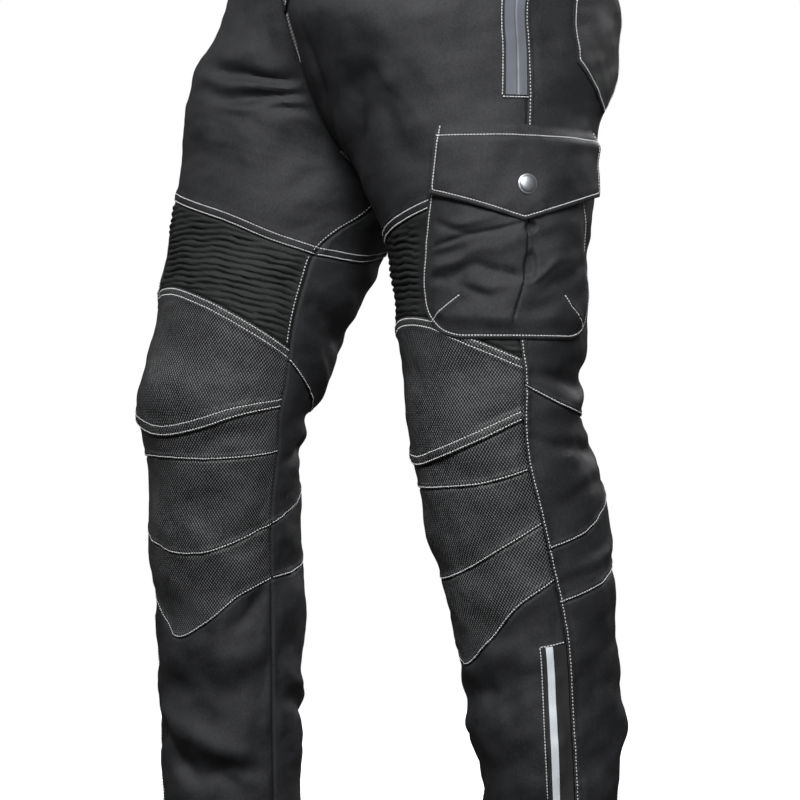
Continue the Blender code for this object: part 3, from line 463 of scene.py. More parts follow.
def one_fold(x, y, a, b, width, height):
    """A soft ridge or trough between two points, deepest in the middle of its length."""
    a, b = np.array(a), np.array(b)
    along = (b - a) / np.dot(b - a, b - a)
    inside = np.clip((x - a[0]) * along[0] + (y - a[1]) * along[1], 0, 1)
    off = np.hypot(x - a[0] - inside * (b - a)[0], y - a[1] - inside * (b - a)[1])
    taper = 0.35 + 0.65 * np.sin(math.pi * inside)
    return height * taper * np.exp(-((off / width) ** 2))


class Leg:
    """One half of the trousers: its side, its sections and the surface through them."""

    def __init__(self, name, side, rows, seams):
        self.name = name
        self.side = side
        self.rows = HIPS + rows
        self.seams = seams
        self.folds = [fold for fold in FOLDS + CREASES if fold.leg == name]
        self.levels = np.linspace(-0.06, 1.06, 2241)
        self.average_angle = {}
        self.average_pull = {}
        for edge in ("front", "back"):
            drops = [np.maximum(self.levels + step, HIPS[0].drop) for step in EDGE_AVERAGE]
            angles = [self.edge_angle(drop, edge) for drop in drops]
            pulls = [self.missing(drop, edge, angle) for drop, angle in zip(drops, angles)]
            self.average_angle[edge] = np.mean(angles, axis=0)
            self.average_pull[edge] = np.mean(pulls, axis=0)

    def column(self, field, drop):
        """A value of the sections at that drop."""
        knots = [row.drop for row in self.rows]
        return through(knots, [getattr(row, field) for row in self.rows], drop)

    def seam_angle(self, field, drop):
        knots = [row.drop for row in self.seams]
        return np.radians(through(knots, [getattr(row, field) for row in self.seams], drop))

    def on_section(self, drop, angle):
        """A point of the section at that drop, with x counted outwards."""
        depth = np.where(np.sin(angle) < 0, self.column("front", drop), self.column("back", drop))
        lean = np.radians(self.column("lean", drop))
        reach = depth * np.sin(angle)
        return np.stack([
            self.column("x", drop) + self.column("half_width", drop) * np.cos(angle),
            self.column("y", drop) + reach * np.cos(lean),
            self.column("z", drop) - reach * np.sin(lean),
        ], axis=-1)

    def centre_seam(self, drop, edge):
        """The point of the centre seam at that drop. edge is front or back."""
        depth = np.sqrt(CROTCH - np.minimum(drop, CROTCH))
        rows = CENTRE_SEAM[::-1]
        knots = [math.sqrt(CROTCH - row.drop) for row in rows]
        y = through(knots, [getattr(row, edge) for row in rows], depth)
        return np.stack([np.zeros_like(y), y, -np.minimum(drop, CROTCH)], axis=-1)

    def edge_angle(self, drop, edge):
        """The angle at which the front or the back edge of the half leaves the section."""
        turn = -1 if edge == "front" else 1
        above = np.minimum(drop, CROTCH)
        y = self.centre_seam(above, edge)[..., 1] - self.column("y", above)
        depth = np.where(y < 0, self.column("front", above), self.column("back", above))
        angle = np.arctan2(y / depth, -self.column("x", above) / self.column("half_width", above))
        angle = np.where(angle * turn < 0, angle + turn * 2 * math.pi, angle)
        inseam = self.seam_angle("inseam", drop)
        if edge == "back":
            inseam = inseam + 2 * math.pi
        settled = ease((drop - CROTCH) / 0.09)
        return angle * (1 - settled) + inseam * settled

    def missing(self, drop, edge, angle):
        """How far the section lies from the centre seam at an edge. It dies away below the crotch."""
        gap = self.centre_seam(drop, edge) - self.on_section(np.minimum(drop, CROTCH), angle)
        return gap * (1 - ease((drop - CROTCH) / PULL_END))[..., None]

    def averaged(self, drop, edge):
        """The averages of the edge's angle and of its pull towards the centre seam."""
        columns = self.average_pull[edge].T
        pull = np.stack([np.interp(drop, self.levels, column) for column in columns], -1)
        return np.interp(drop, self.levels, self.average_angle[edge]), pull

    def flat_point(self, wrap, drop):
        """The cloth without its folds."""
        side = self.seam_angle("side", drop)
        front = self.edge_angle(drop, "front")
        back = self.edge_angle(drop, "back")
        front_average, front_pull = self.averaged(drop, "front")
        back_average, back_pull = self.averaged(drop, "back")
        front_in = front + (front_average - front) * ease(wrap / EDGE_REACH)
        back_in = back + (back_average - back) * ease((2 - wrap) / EDGE_REACH)
        angle = np.where(wrap < 1, front_in + (side - front_in) * wrap, side + (back_in - side) * (wrap - 1))
        point = self.on_section(drop, angle)
        # Each edge is drawn onto the shared centre seam, and eases away from it round the leg
        for edge, edge_angle, average, from_edge in (
            ("front", front, front_pull, wrap),
            ("back", back, back_pull, 2 - wrap),
        ):
            at_edge = self.missing(drop, edge, edge_angle)
            pull = at_edge + (average - at_edge) * ease(from_edge / EDGE_REACH)[..., None]
            point = point + pull * ease(1 - from_edge / PULL_REACH)[..., None]
        point[..., 0] = np.maximum(point[..., 0], SEAM_GAP / 2)
        point[..., 0] *= self.side
        return point

    def fold_height(self, wrap, drop):
        """Folds and creases, and the soft unevenness of worn cloth between them."""
        across = wrap * FOLD_WRAP_LENGTH
        seed = 11 if self.side > 0 else 23
        # Every fold wanders a little from its straight line
        shift_x = FOLD_WANDER * unevenness(across, drop, 0.090, seed)
        shift_y = FOLD_WANDER * unevenness(across, drop, 0.075, seed + 1)
        height = np.zeros(np.broadcast(wrap, drop).shape)
        for fold in self.folds:
            a = (fold.wrap_a * FOLD_WRAP_LENGTH, fold.drop_a)
            b = (fold.wrap_b * FOLD_WRAP_LENGTH, fold.drop_b)
            height = height + one_fold(across + shift_x, drop + shift_y, a, b, fold.width, fold.height)
        # The lower legs hang looser than the thighs
        loose = 0.55 + 0.45 * ease((drop - 0.60) / 0.20)
        soft = 0.0022 * loose * unevenness(across * 0.8, drop, 0.080, seed + 2)
        soft = soft + 0.0008 * loose * unevenness(across, drop, 0.036, seed + 3)
        soft = soft + 0.0002 * unevenness(across, drop, 0.015, seed + 4)
        # Stitched seams hold the cloth, so folds die away towards them
        hold = ease(np.abs(wrap - np.round(wrap)) / 0.05)
        return (height + soft) * hold

    def direction(self, wrap, drop, step=STEP):
        """The unit normal out of the cloth, and the length of a unit of wrap."""
        low, high = np.maximum(wrap - step * 20, 0), np.minimum(wrap + step * 20, 2)
        across = self.flat_point(high, drop) - self.flat_point(low, drop)
        down = self.flat_point(wrap, drop + step) - self.flat_point(wrap, drop - step)
        normal = np.cross(down, across) * self.side
        normal /= np.linalg.norm(normal, axis=-1, keepdims=True)
        return normal, np.linalg.norm(across, axis=-1) / (high - low)

    def point(self, wrap, drop, lift=0.0):
        """A point of the cloth's outer face, moved out by lift."""
        wrap, drop = np.broadcast_arrays(np.asarray(wrap, float), np.asarray(drop, float))
        normal, _ = self.direction(wrap, drop)
        rise = self.fold_height(wrap, drop) + lift
        return self.flat_point(wrap, drop) + normal * rise[..., None]

    def wrap_at(self, distance, drop):
        """The wrap that lies that far behind the side seam, measured along the cloth."""
        distance, drop = np.broadcast_arrays(np.asarray(distance, float), np.asarray(drop, float))
        steps = 8
        wrap = np.ones(distance.shape)
        for _ in range(steps):
            _, length = self.direction(np.clip(wrap + np.sign(distance) * 0.01, 0, 2), drop)
            wrap = wrap + distance / steps / length
        return wrap


def seam_line(name):
    """The drop of an across seam as a function of wrap, over its own half of the leg."""
    seams = BACK_SEAMS if any(row.name == name for row in BACK_SEAMS) else FRONT_SEAMS
    row = next(row for row in seams if row.name == name)
    drops = np.array(row[1:], float)
    steps = np.linspace(0, 1, len(drops))
    if seams is BACK_SEAMS:
        return lambda wrap: through(steps, drops, 2 - wrap)
    return lambda wrap: through(steps, drops, wrap)


def level(drop):
    return lambda wrap: np.full(np.shape(wrap), float(drop))


# Meshes


def place(name, points, faces, slot, cloth=None, body="root"):
    """A smooth mesh piece on its body. cloth is each point's place in the cut, in metres."""
    data = bpy.data.meshes.new(name)
    data.from_pydata(points.reshape(-1, 3).tolist(), [], faces)
    if cloth is not None:
        layer = data.attributes.new("cloth", "FLOAT_VECTOR", "POINT")
        layer.data.foreach_set("vector", cloth.reshape(-1).astype(np.float32))
    data.shade_smooth()
    data.set_sharp_from_angle(angle=math.radians(48))
    data.materials.append(MATERIALS[slot])
    piece = bpy.data.objects.new(name, data)
    bpy.context.scene.collection.objects.link(piece)
    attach(piece, body)
    return piece


def wall_faces(rows, columns, flip):
    """Faces of a closed wall: an outer grid, an inner grid after it, and the four rims."""
    grid = np.arange(rows * columns).reshape(rows, columns)
    inner = grid + rows * columns
    quads = [np.stack([grid[:-1, :-1], grid[:-1, 1:], grid[1:, 1:], grid[1:, :-1]], -1).reshape(-1, 4)]
    inside = np.stack([inner[:-1, :-1], inner[1:, :-1], inner[1:, 1:], inner[:-1, 1:]], -1)
    quads.append(inside.reshape(-1, 4))
    quads.append(np.stack([grid[0, 1:], grid[0, :-1], inner[0, :-1], inner[0, 1:]], -1))
    quads.append(np.stack([grid[-1, :-1], grid[-1, 1:], inner[-1, 1:], inner[-1, :-1]], -1))
    quads.append(np.stack([grid[:-1, 0], grid[1:, 0], inner[1:, 0], inner[:-1, 0]], -1))
    quads.append(np.stack([grid[1:, -1], grid[:-1, -1], inner[:-1, -1], inner[1:, -1]], -1))
    faces = np.concatenate(quads)
    if flip:
        faces = faces[:, ::-1]
    return faces.tolist()


def wall(name, side, outer, inner, slot, cloth):
    """A closed wall of cloth between two grids of points."""
    rows, columns = outer.shape[:2]
    points = np.concatenate([outer.reshape(-1, 3), inner.reshape(-1, 3)])
    marks = np.concatenate([cloth.reshape(-1, 3)] * 2)
    return place(name, points, wall_faces(rows, columns, side > 0), slot, marks)


class Panel:
    """A cut panel: one half of a leg between two seam lines.

    top_rows and the like are the distances of its sewn rows from that edge.
    """

    def __init__(self, leg, name, half, top, bottom, slot="shell", top_rows=(), bottom_rows=(),
                 centre_rows=(), side_rows=(), relief=None):
        self.leg = leg
        self.name = name
        self.half = half
        self.top = top
        self.bottom = bottom
        self.slot = slot
        self.top_rows = top_rows
        self.bottom_rows = bottom_rows
        self.centre_rows = centre_rows
        self.side_rows = side_rows
        self.relief = relief
        self.seed = sum(map(ord, name)) + (0 if leg.side > 0 else 500)

    def slant(self, line, wrap, length):
        """How much longer a seam line is than its run across the leg."""
        low, high = np.clip(wrap - 0.01, 0, 2), np.clip(wrap + 0.01, 0, 2)
        return np.hypot(1, (line(high) - line(low)) / (high - low) / length)

    def from_centre(self, wrap):
        return wrap if self.half == "front" else 2 - wrap

    def height(self, wrap, drop):
        """Folds, the added relief, and what the seams do to the cloth beside them."""
        _, length = self.leg.direction(wrap, drop)
        rise = self.leg.fold_height(wrap, drop)
        if self.relief is not None:
            rise = rise + self.relief(wrap, drop)
        centre = self.from_centre(wrap)
        edges = (
            ((drop - self.top(wrap)) / self.slant(self.top, wrap, length), self.top_rows, wrap * length),
            ((self.bottom(wrap) - drop) / self.slant(self.bottom, wrap, length), self.bottom_rows,
             wrap * length),
            (centre * length, self.centre_rows, drop),
            ((1 - centre) * length, self.side_rows, drop),
        )
        for number, (distance, rows, along) in enumerate(edges):
            rise = rise + seam_height(distance, rows, along, self.seed + number)
        return rise

    def point(self, wrap, drop, lift=0.0):
        wrap, drop = np.broadcast_arrays(np.asarray(wrap, float), np.asarray(drop, float))
        normal, _ = self.leg.direction(wrap, drop)
        return self.leg.flat_point(wrap, drop) + normal * (self.height(wrap, drop) + lift)[..., None]

    def grid(self):
        """Wraps and drops, closer together beside the seams."""
        start = 0.0 if self.half == "front" else 1.0
        middle = float(self.top(np.array(start + 0.5)) + self.bottom(np.array(start + 0.5))) / 2
        _, length = self.leg.direction(np.array(start + 0.5), np.array(middle))
        edge = (SEAM_GAP / 2 + BESIDE_SEAM) / float(length)
        count = int((1 - 2 * edge[-1]) * float(length) / GRID_STEP)
        middle_part = np.linspace(edge[-1], 1 - edge[-1], count)[1:-1]
        across = start + np.concatenate([edge, middle_part, 1 - edge[::-1]])
        high = self.top(across) + CROSS_SEAM_GAP / 2
        low = self.bottom(across) - CROSS_SEAM_GAP / 2
        shrink = np.minimum(1, 0.42 * (low - high) / BESIDE_SEAM[-1])
        beside = BESIDE_SEAM[:, None] * shrink
        step_down = RIB_GRID_STEP if self.slot == "gathered" else GRID_STEP
        count = max(3, int((low - high).max() / step_down))
        shares = np.linspace(0, 1, count)[1:-1, None]
        inner_high, inner_low = high + beside[-1], low - beside[-1]
        middle_part = inner_high + (inner_low - inner_high) * shares
        drops = np.concatenate([high + beside, middle_part, low - beside[::-1]])
        return np.broadcast_to(across, drops.shape), drops

    def build(self):
        wraps, drops = self.grid()
        normal, length = self.leg.direction(wraps, drops)
        rise = self.height(wraps, drops)[..., None]
        flat = self.leg.flat_point(wraps, drops)
        cloth = np.stack([wraps * length.mean(), drops, np.zeros(drops.shape)], -1)
        outer, inner = flat + normal * rise, flat + normal * (rise - CLOTH)
        if self.slot == "gathered":
            inner = flat - normal * (CLOTH + RIB_HEIGHT)
        piece = wall(f"{self.name}_{self.leg.name}_cloth", self.leg.side, outer, inner, self.slot, cloth)
        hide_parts(f"{self.name}_{self.leg.name}")
        declare(outer)
        return piece

    def edge_row(self, edge, offset, start=0.0, end=1.0):
        """Wraps and drops of a row sewn along an edge, from one share of the edge to another."""
        shares = np.linspace(start, end, 260)
        low = 0.0 if self.half == "front" else 1.0
        if edge in ("top", "bottom"):
            wraps = low + shares
            line = self.top if edge == "top" else self.bottom
            _, length = self.leg.direction(wraps, line(wraps))
            sign = 1 if edge == "top" else -1
            return wraps, line(wraps) + sign * offset * self.slant(line, wraps, length)
        at = low if (edge == "centre") == (self.half == "front") else low + 1
        high, bottom = float(self.top(np.array(at))), float(self.bottom(np.array(at)))
        drops = high + (bottom - high) * shares
        _, length = self.leg.direction(np.full(drops.shape, at), drops)
        return at + (1 if at == low else -1) * offset / length, drops

    def sew(self, pitch=TOP_PITCH, gap=TOP_GAP):
        """All the rows of the panel."""
        for edge, offsets in (("top", self.top_rows), ("bottom", self.bottom_rows),
                              ("centre", self.centre_rows), ("side", self.side_rows)):
            dashed = edge in ("centre", "side")
            for offset in offsets:
                wraps, drops = self.edge_row(edge, offset)
                THREAD[self.leg.name].append(Row(
                    self.point(wraps, drops), self.leg.direction(wraps, drops)[0],
                    DASH_PITCH if dashed else pitch, DASH_GAP if dashed else gap))


def seam_height(distance, rows, along, seed):
    """The cloth beside a seam: turned under at the edge, thick over the seam allowance, puckered."""
    away = np.maximum(distance, 0)
    if not len(rows):
        return -SEAM_DITCH * (1 - ease(away / SEAM_TURN))
    last = max(rows)
    rise = SEAM_THICK * (1 - ease((away - last - 0.0015) / 0.0035))
    rise = rise - LAP_EDGE * (1 - ease(away / 0.0010))
    for row in rows:
        rise = rise - THREAD_DENT * np.exp(-((away - row) / 0.0010) ** 2)
    ripple = unevenness(along, along * 0, PUCKER_LENGTH, seed)
    return rise + PUCKER * ripple * np.exp(-((away - last) / 0.0055) ** 2)


def declare(outer, spare=1.0):
    """Measures the piece as cut: its own width and length, and its area. Nothing is done with them."""
    across = np.linalg.norm(np.diff(outer, axis=1), axis=2).sum(axis=1)
    down = np.linalg.norm(np.diff(outer, axis=0), axis=2).sum(axis=0)
    a, b = outer[1:, 1:] - outer[:-1, :-1], outer[1:, :-1] - outer[:-1, 1:]
    area = float(np.linalg.norm(np.cross(a, b), axis=2).sum() / 2) * spare


# Sewing thread

Row = namedtuple("Row", "points normals pitch gap")
THREAD = {"left": [], "right": []}
STITCH_SIDES = 6


def sew(leg, points, normals, pitch=TOP_PITCH, gap=TOP_GAP):
    THREAD[leg.name].append(Row(points, normals, pitch, gap))


def stitch_mesh(name, rows):
    """One mesh with every stitch of the rows: short round loops that dip into the cloth."""
    angles = np.arange(STITCH_SIDES) * 2 * math.pi / STITCH_SIDES
    corners = 2 * STITCH_SIDES + 2
    points, faces, marks = [], [], []
    count = 0
    draw = np.random.default_rng(7)
    for row in rows:
        run = np.concatenate([[0], np.cumsum(np.linalg.norm(np.diff(row.points, axis=0), axis=1))])
        starts = np.arange(0.0004, run[-1] - row.pitch + row.gap, row.pitch)
        if not len(starts):
            continue
        starts = starts + draw.uniform(-0.0001, 0.0001, len(starts))

        def read(at, values):
            return np.stack([np.interp(at, run, values[:, i]) for i in range(3)], -1)

        ends = starts + row.pitch - row.gap
        a, b = read(starts, row.points), read(ends, row.points)
        up = read((starts + ends) / 2, row.normals)
        up /= np.linalg.norm(up, axis=1, keepdims=True)
        along = b - a
        along /= np.linalg.norm(along, axis=1, keepdims=True)
        aside = np.cross(along, up)
        aside += up * draw.uniform(-0.1, 0.1, (len(starts), 1))
        for k in range(len(starts)):
            ring = np.cos(angles)[:, None] * aside[k] + np.sin(angles)[:, None] * up[k] * 0.85
            first = a[k] + (b[k] - a[k]) * 0.22 + up[k] * THREAD_LIFT
            second = a[k] + (b[k] - a[k]) * 0.78 + up[k] * THREAD_LIFT
            dip = up[k] * THREAD_DIP
            points.append(np.concatenate([[a[k] - dip], first + ring * THREAD_RADIUS,
                                          second + ring * THREAD_RADIUS, [b[k] - dip]]))
            marks.append(np.full((corners, 3), draw.uniform(0, 1)))
            base = count * corners
            for i in range(STITCH_SIDES):
                j = (i + 1) % STITCH_SIDES
                one, two = base + 1, base + 1 + STITCH_SIDES
                faces.append((base, one + j, one + i))
                faces.append((one + i, one + j, two + j, two + i))
                faces.append((two + i, two + j, base + corners - 1))
            count += 1
    return place(name, np.concatenate(points), faces, "thread", np.concatenate(marks))


# Materials


def node(tree, kind, **values):
    made = tree.nodes.new(kind)
    for name, value in values.items():
        setattr(made, name, value)
    return made


def calculate(tree, operation, *values):
    """A Math node on links or numbers, as its output."""
    made = node(tree, "ShaderNodeMath", operation=operation)
    for socket, value in zip(made.inputs, values):
        if isinstance(value, (int, float)):
            socket.default_value = value
        else:
            tree.links.new(value, socket)
    return made.outputs[0]


def noise(tree, scale, detail=2.0):
    """Noise over the object's own space, about 0.5 on average. scale is the size of a patch in metres."""
    place_in = node(tree, "ShaderNodeTexCoord").outputs["Object"]
    made = node(tree, "ShaderNodeTexNoise")
    made.inputs["Scale"].default_value = 1 / scale
    made.inputs["Detail"].default_value = detail
    tree.links.new(place_in, made.inputs["Vector"])
    return made.outputs["Fac"]


def cut_place(tree):
    """The width and length coordinates of the cut cloth, in metres."""
    attribute = node(tree, "ShaderNodeAttribute", attribute_name="cloth", attribute_type="GEOMETRY")
    split = node(tree, "ShaderNodeSeparateXYZ")
    tree.links.new(attribute.outputs["Vector"], split.inputs[0])
    return split.outputs[0], split.outputs[1]


def threads(tree, across, down, width, height):
    """Crossing threads: high where a warp thread passes over, low where the weft does. -1 to 1."""
    one = calculate(tree, "SINE", calculate(tree, "MULTIPLY", across, 2 * math.pi / width))
    two = calculate(tree, "SINE", calculate(tree, "MULTIPLY", down, 2 * math.pi / height))
    return calculate(tree, "MULTIPLY", one, two)


def blend_colours(tree, share, low, high):
    mix = node(tree, "ShaderNodeMix", data_type="RGBA")
    tree.links.new(share, mix.inputs["Factor"])
    mix.inputs["A"].default_value = (*low, 1)
    mix.inputs["B"].default_value = (*high, 1)
    return mix.outputs["Result"]


def raise_surface(tree, shader, height, distance):
    bump = node(tree, "ShaderNodeBump")
    bump.inputs["Distance"].default_value = distance
    tree.links.new(height, bump.inputs["Height"])
    tree.links.new(bump.outputs[0], shader.inputs["Normal"])


def new_material(name, roughness, metallic=0.0, sheen=0.0, specular=0.5):
    made = bpy.data.materials.new(name)
    made.use_nodes = True
    shader = made.node_tree.nodes["Principled BSDF"]
    shader.inputs["Roughness"].default_value = roughness
    shader.inputs["Metallic"].default_value = metallic
    shader.inputs["Sheen Weight"].default_value = sheen
    shader.inputs["Sheen Roughness"].default_value = 0.45
    shader.inputs["Specular IOR Level"].default_value = specular
    return made, made.node_tree, shader


def woven(name, low, high, width, height, contrast, roughness=0.58):
    """Woven cloth with a crossing of threads, a fine grain and soft shading differences."""
    made, tree, shader = new_material(name, roughness, specular=0.32)
    across, down = cut_place(tree)
    weave = threads(tree, across, down, width, height)
    grain = calculate(tree, "SUBTRACT", noise(tree, 0.0021, 3.0), 0.5)
    worn = calculate(tree, "SUBTRACT", noise(tree, 0.045, 2.0), 0.5)
    share = calculate(tree, "MULTIPLY_ADD", weave, contrast, 0.5 - contrast * 0.35)
    share = calculate(tree, "MULTIPLY_ADD", grain, 0.9, share)
    share = calculate(tree, "MULTIPLY_ADD", worn, 0.5, share)
    share = calculate(tree, "MAXIMUM", calculate(tree, "MINIMUM", share, 1.0), 0.0)
    tree.links.new(blend_colours(tree, share, low, high), shader.inputs["Base Color"])
    relief = calculate(tree, "MULTIPLY_ADD", grain, 1.2, weave)
    raise_surface(tree, shader, relief, 0.00010)
    return made


def plain(name, low, high, roughness, metallic=0.0, grain=0.0012, relief=0.00004, specular=0.5):
    """Coated, moulded or metal finishes: two close tones over a fine grain."""
    made, tree, shader = new_material(name, roughness, metallic, specular=specular)
    share = noise(tree, grain, 2.0)
    tree.links.new(blend_colours(tree, share, low, high), shader.inputs["Base Color"])
    raise_surface(tree, shader, share, relief)
    return made


def sewing_thread():
    """Twisted thread: fine slanting strands along each stitch, no two stitches quite alike."""
    made, tree, shader = new_material("thread", 0.6, sheen=0.2)
    strands = noise(tree, 0.0005, 2.0)
    colour = blend_colours(tree, strands, (0.52, 0.53, 0.54), (0.80, 0.80, 0.80))
    tree.links.new(colour, shader.inputs["Base Color"])
    raise_surface(tree, shader, strands, 0.0001)
    return made


MATERIALS = {
    "shell": woven("shell", (0.008, 0.0085, 0.0095), (0.045, 0.046, 0.051), 0.0011, 0.0013, 0.32),
    "gathered": woven("gathered", (0.006, 0.0065, 0.0065), (0.030, 0.032, 0.032), 0.0010, 0.0011, 0.25),
    "knee": woven("knee", (0.003, 0.003, 0.0035), (0.150, 0.154, 0.160), 0.0030, 0.0040, 0.95, 0.55),
    "tape": plain("tape", (0.115, 0.123, 0.143), (0.142, 0.152, 0.173), 0.42),
    "dark": plain("dark", (0.010, 0.010, 0.010), (0.022, 0.022, 0.022), 0.70),
    "reflective": plain("reflective", (0.66, 0.70, 0.74), (0.80, 0.84, 0.88), 0.35),
    "metal": plain("metal", (0.52, 0.55, 0.58), (0.60, 0.63, 0.66), 0.42, metallic=1.0),
    "thread": sewing_thread(),
}


# The panels of a leg


def ribs(leg, top, bottom):
    """Relief of the gathered panel: round ribs with narrow creases between them, never quite straight."""
    seed = 31 if leg.side > 0 else 47
    levels = np.linspace(0.30, 0.50, 21)
    edges = leg.wrap_at(-POCKET_FRONT_WIDTH - RIBS_BESIDE_POCKET, levels)

    def relief(wrap, drop):
        across = wrap * FOLD_WRAP_LENGTH
        sway = 0.0011 * unevenness(across, drop * 0.35, 0.034, seed)
        sway = sway + 0.0005 * unevenness(across, drop, 0.012, seed + 1)
        phase = (drop + sway) / RIB_PITCH
        rib = RIB_DEPTH * (np.abs(np.sin(math.pi * phase)) ** RIB_ROUNDNESS - RIB_MEAN)
        strength = 0.85 + 0.35 * unevenness(across, drop, 0.028, seed + 2)
        loose = ease((drop - top(wrap)) / RIB_PITCH) * ease((bottom(wrap) - drop) / RIB_PITCH)
        under = ease((wrap - np.interp(drop, levels, edges)) / 0.04)
        under = under * (1 - ease((drop - POCKET_BOTTOM - 0.002) / 0.010))
        loose = loose * (1 - under) * ease(wrap / 0.06)
        return RIB_HEIGHT * np.clip(strength, 0.3, 1.4) * rib * loose

    return relief


def leg_panels(leg):
    """All the panels of a leg, each with its sewn rows."""
    line = {row.name: seam_line(row.name) for row in FRONT_SEAMS + BACK_SEAMS}
    waist, hem = level(BAND_BOTTOM), level(HEM)

    def lap(wrap, drop):
        return KNEE_LAP_RISE * (1 - ease((line["knee_lap"](wrap) - drop) / 0.016)) * ease(wrap / 0.1)

    panels = {}
    for name, half, top, bottom, slot, values in (
        ("front", "front", waist, line["gather_top"], "shell", dict(bottom_rows=DOUBLE_ROW)),
        ("gathered_panel", "front", line["gather_top"], line["gather_bottom"], "gathered",
         dict(relief=ribs(leg, line["gather_top"], line["gather_bottom"]))),
        ("knee_cap", "front", line["gather_bottom"], line["knee_lap"], "knee",
         dict(top_rows=KNEE_TOP_ROWS, bottom_rows=DOUBLE_ROW, relief=lap)),
        ("knee_band", "front", line["knee_lap"], line["band_bottom"], "knee", dict(bottom_rows=SINGLE_ROW)),
        ("knee_lower", "front", line["band_bottom"], line["mid_bottom"], "knee",
         dict(bottom_rows=SINGLE_ROW)),
        ("knee_tip", "front", line["mid_bottom"], line["tip_bottom"], "knee", dict(bottom_rows=SINGLE_ROW)),
        ("shin", "front", line["tip_bottom"], hem, "shell", dict(bottom_rows=HEM_ROW)),
        ("seat", "back", waist, line["seat_bottom"], "shell", dict(bottom_rows=DOUBLE_ROW)),
        ("back_thigh", "back", line["seat_bottom"], line["thigh_bottom"], "shell",
         dict(bottom_rows=SINGLE_ROW)),
        ("back_knee", "back", line["thigh_bottom"], line["hollow_bottom"], "shell",
         dict(bottom_rows=SINGLE_ROW)),
        ("calf_band", "back", line["hollow_bottom"], line["calf_band_bottom"], "shell",
         dict(bottom_rows=SINGLE_ROW)),
        ("calf", "back", line["calf_band_bottom"], hem, "shell", dict(bottom_rows=HEM_ROW)),
    ):
        side_rows = SIDE_ROW if half == "back" else ()
        panels[name] = Panel(leg, name, half, top, bottom, slot, side_rows=side_rows, **values)
    for panel in panels.values():
        panel.build()
        panel.sew()
    for name, distance, high, low in INSEAM_ROWS:
        beside_centre(panels[name], distance, high, low)
    if leg.side > 0:
        for distance in CENTRE_ROWS:
            beside_centre(panels["front"], distance, CENTRE_ROW_START, CENTRE_ROW_END)


def beside_centre(panel, distance, high, low):
    """A dashed row along the centre seam or the inseam, between two drops."""
    drops = np.linspace(high, low, 200)
    _, length = panel.leg.direction(np.zeros(200), drops)
    wraps = distance / length
    sew(panel.leg, panel.point(wraps, drops), panel.leg.direction(wraps, drops)[0], DASH_PITCH, DASH_GAP)


# What is laid on the panels


class Laid:
    """A piece sewn onto a leg. lift is the height of its outer face over the cloth.

    It is placed by distances behind the side seam, and by drops.
    """

    def __init__(self, leg, name, lift, slot="shell", thickness=CLOTH):
        self.leg = leg
        self.name = name
        self.lift = lift
        self.slot = slot
        self.thickness = thickness

    def point(self, distances, drops, more=0.0):
        wraps = self.leg.wrap_at(distances, drops)
        return self.leg.point(wraps, drops, self.lift(distances, drops) + more)

    def build(self, distances, drops, held="laid", rests_on=()):
        distances = np.broadcast_to(distances, drops.shape)
        outer = self.point(distances, drops)
        inner = self.point(distances, drops, -self.thickness)
        cloth = np.stack([distances, drops, np.zeros(drops.shape)], -1)
        piece = wall(f"{self.name}_{self.leg.name}_cloth", self.leg.side, outer, inner, self.slot, cloth)
        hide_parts(f"{self.name}_{self.leg.name}")
        if held:
            declare(outer)
        return piece

    def sew(self, distances, drops, pitch=TOP_PITCH, gap=TOP_GAP):
        """A row of stitches along a line of distances and drops."""
        run = np.concatenate([[0], np.cumsum(np.hypot(np.diff(distances), np.diff(drops)))])
        at = np.arange(0, run[-1], 0.001)
        distances, drops = np.interp(at, run, distances), np.interp(at, run, drops)
        wraps = self.leg.wrap_at(distances, drops)
        points = self.leg.point(wraps, drops, self.lift(distances, drops))
        sew(self.leg, points, self.leg.direction(wraps, drops)[0], pitch, gap)


def pocket_width(across, drops):
    """The pocket's width on one side of the side seam. It spreads out towards its foot."""
    spread = ease((drops - POCKET_TOP) / 0.140)
    front = POCKET_FRONT_TOP_WIDTH + (POCKET_FRONT_WIDTH - POCKET_FRONT_TOP_WIDTH) * spread
    rear = POCKET_REAR_TOP_WIDTH + (POCKET_REAR_WIDTH - POCKET_REAR_TOP_WIDTH) * spread
    return np.where(across < 0, front, rear)


def pocket_foot(across):
    """The drop of the pocket's lower edge: its corners are quarter ellipses."""
    corner = np.clip(1 - (1 - np.abs(across)) * POCKET_FRONT_WIDTH / POCKET_CORNER, 0, 1)
    return POCKET_BOTTOM - POCKET_CORNER * (1 - np.sqrt(1 - corner**2))


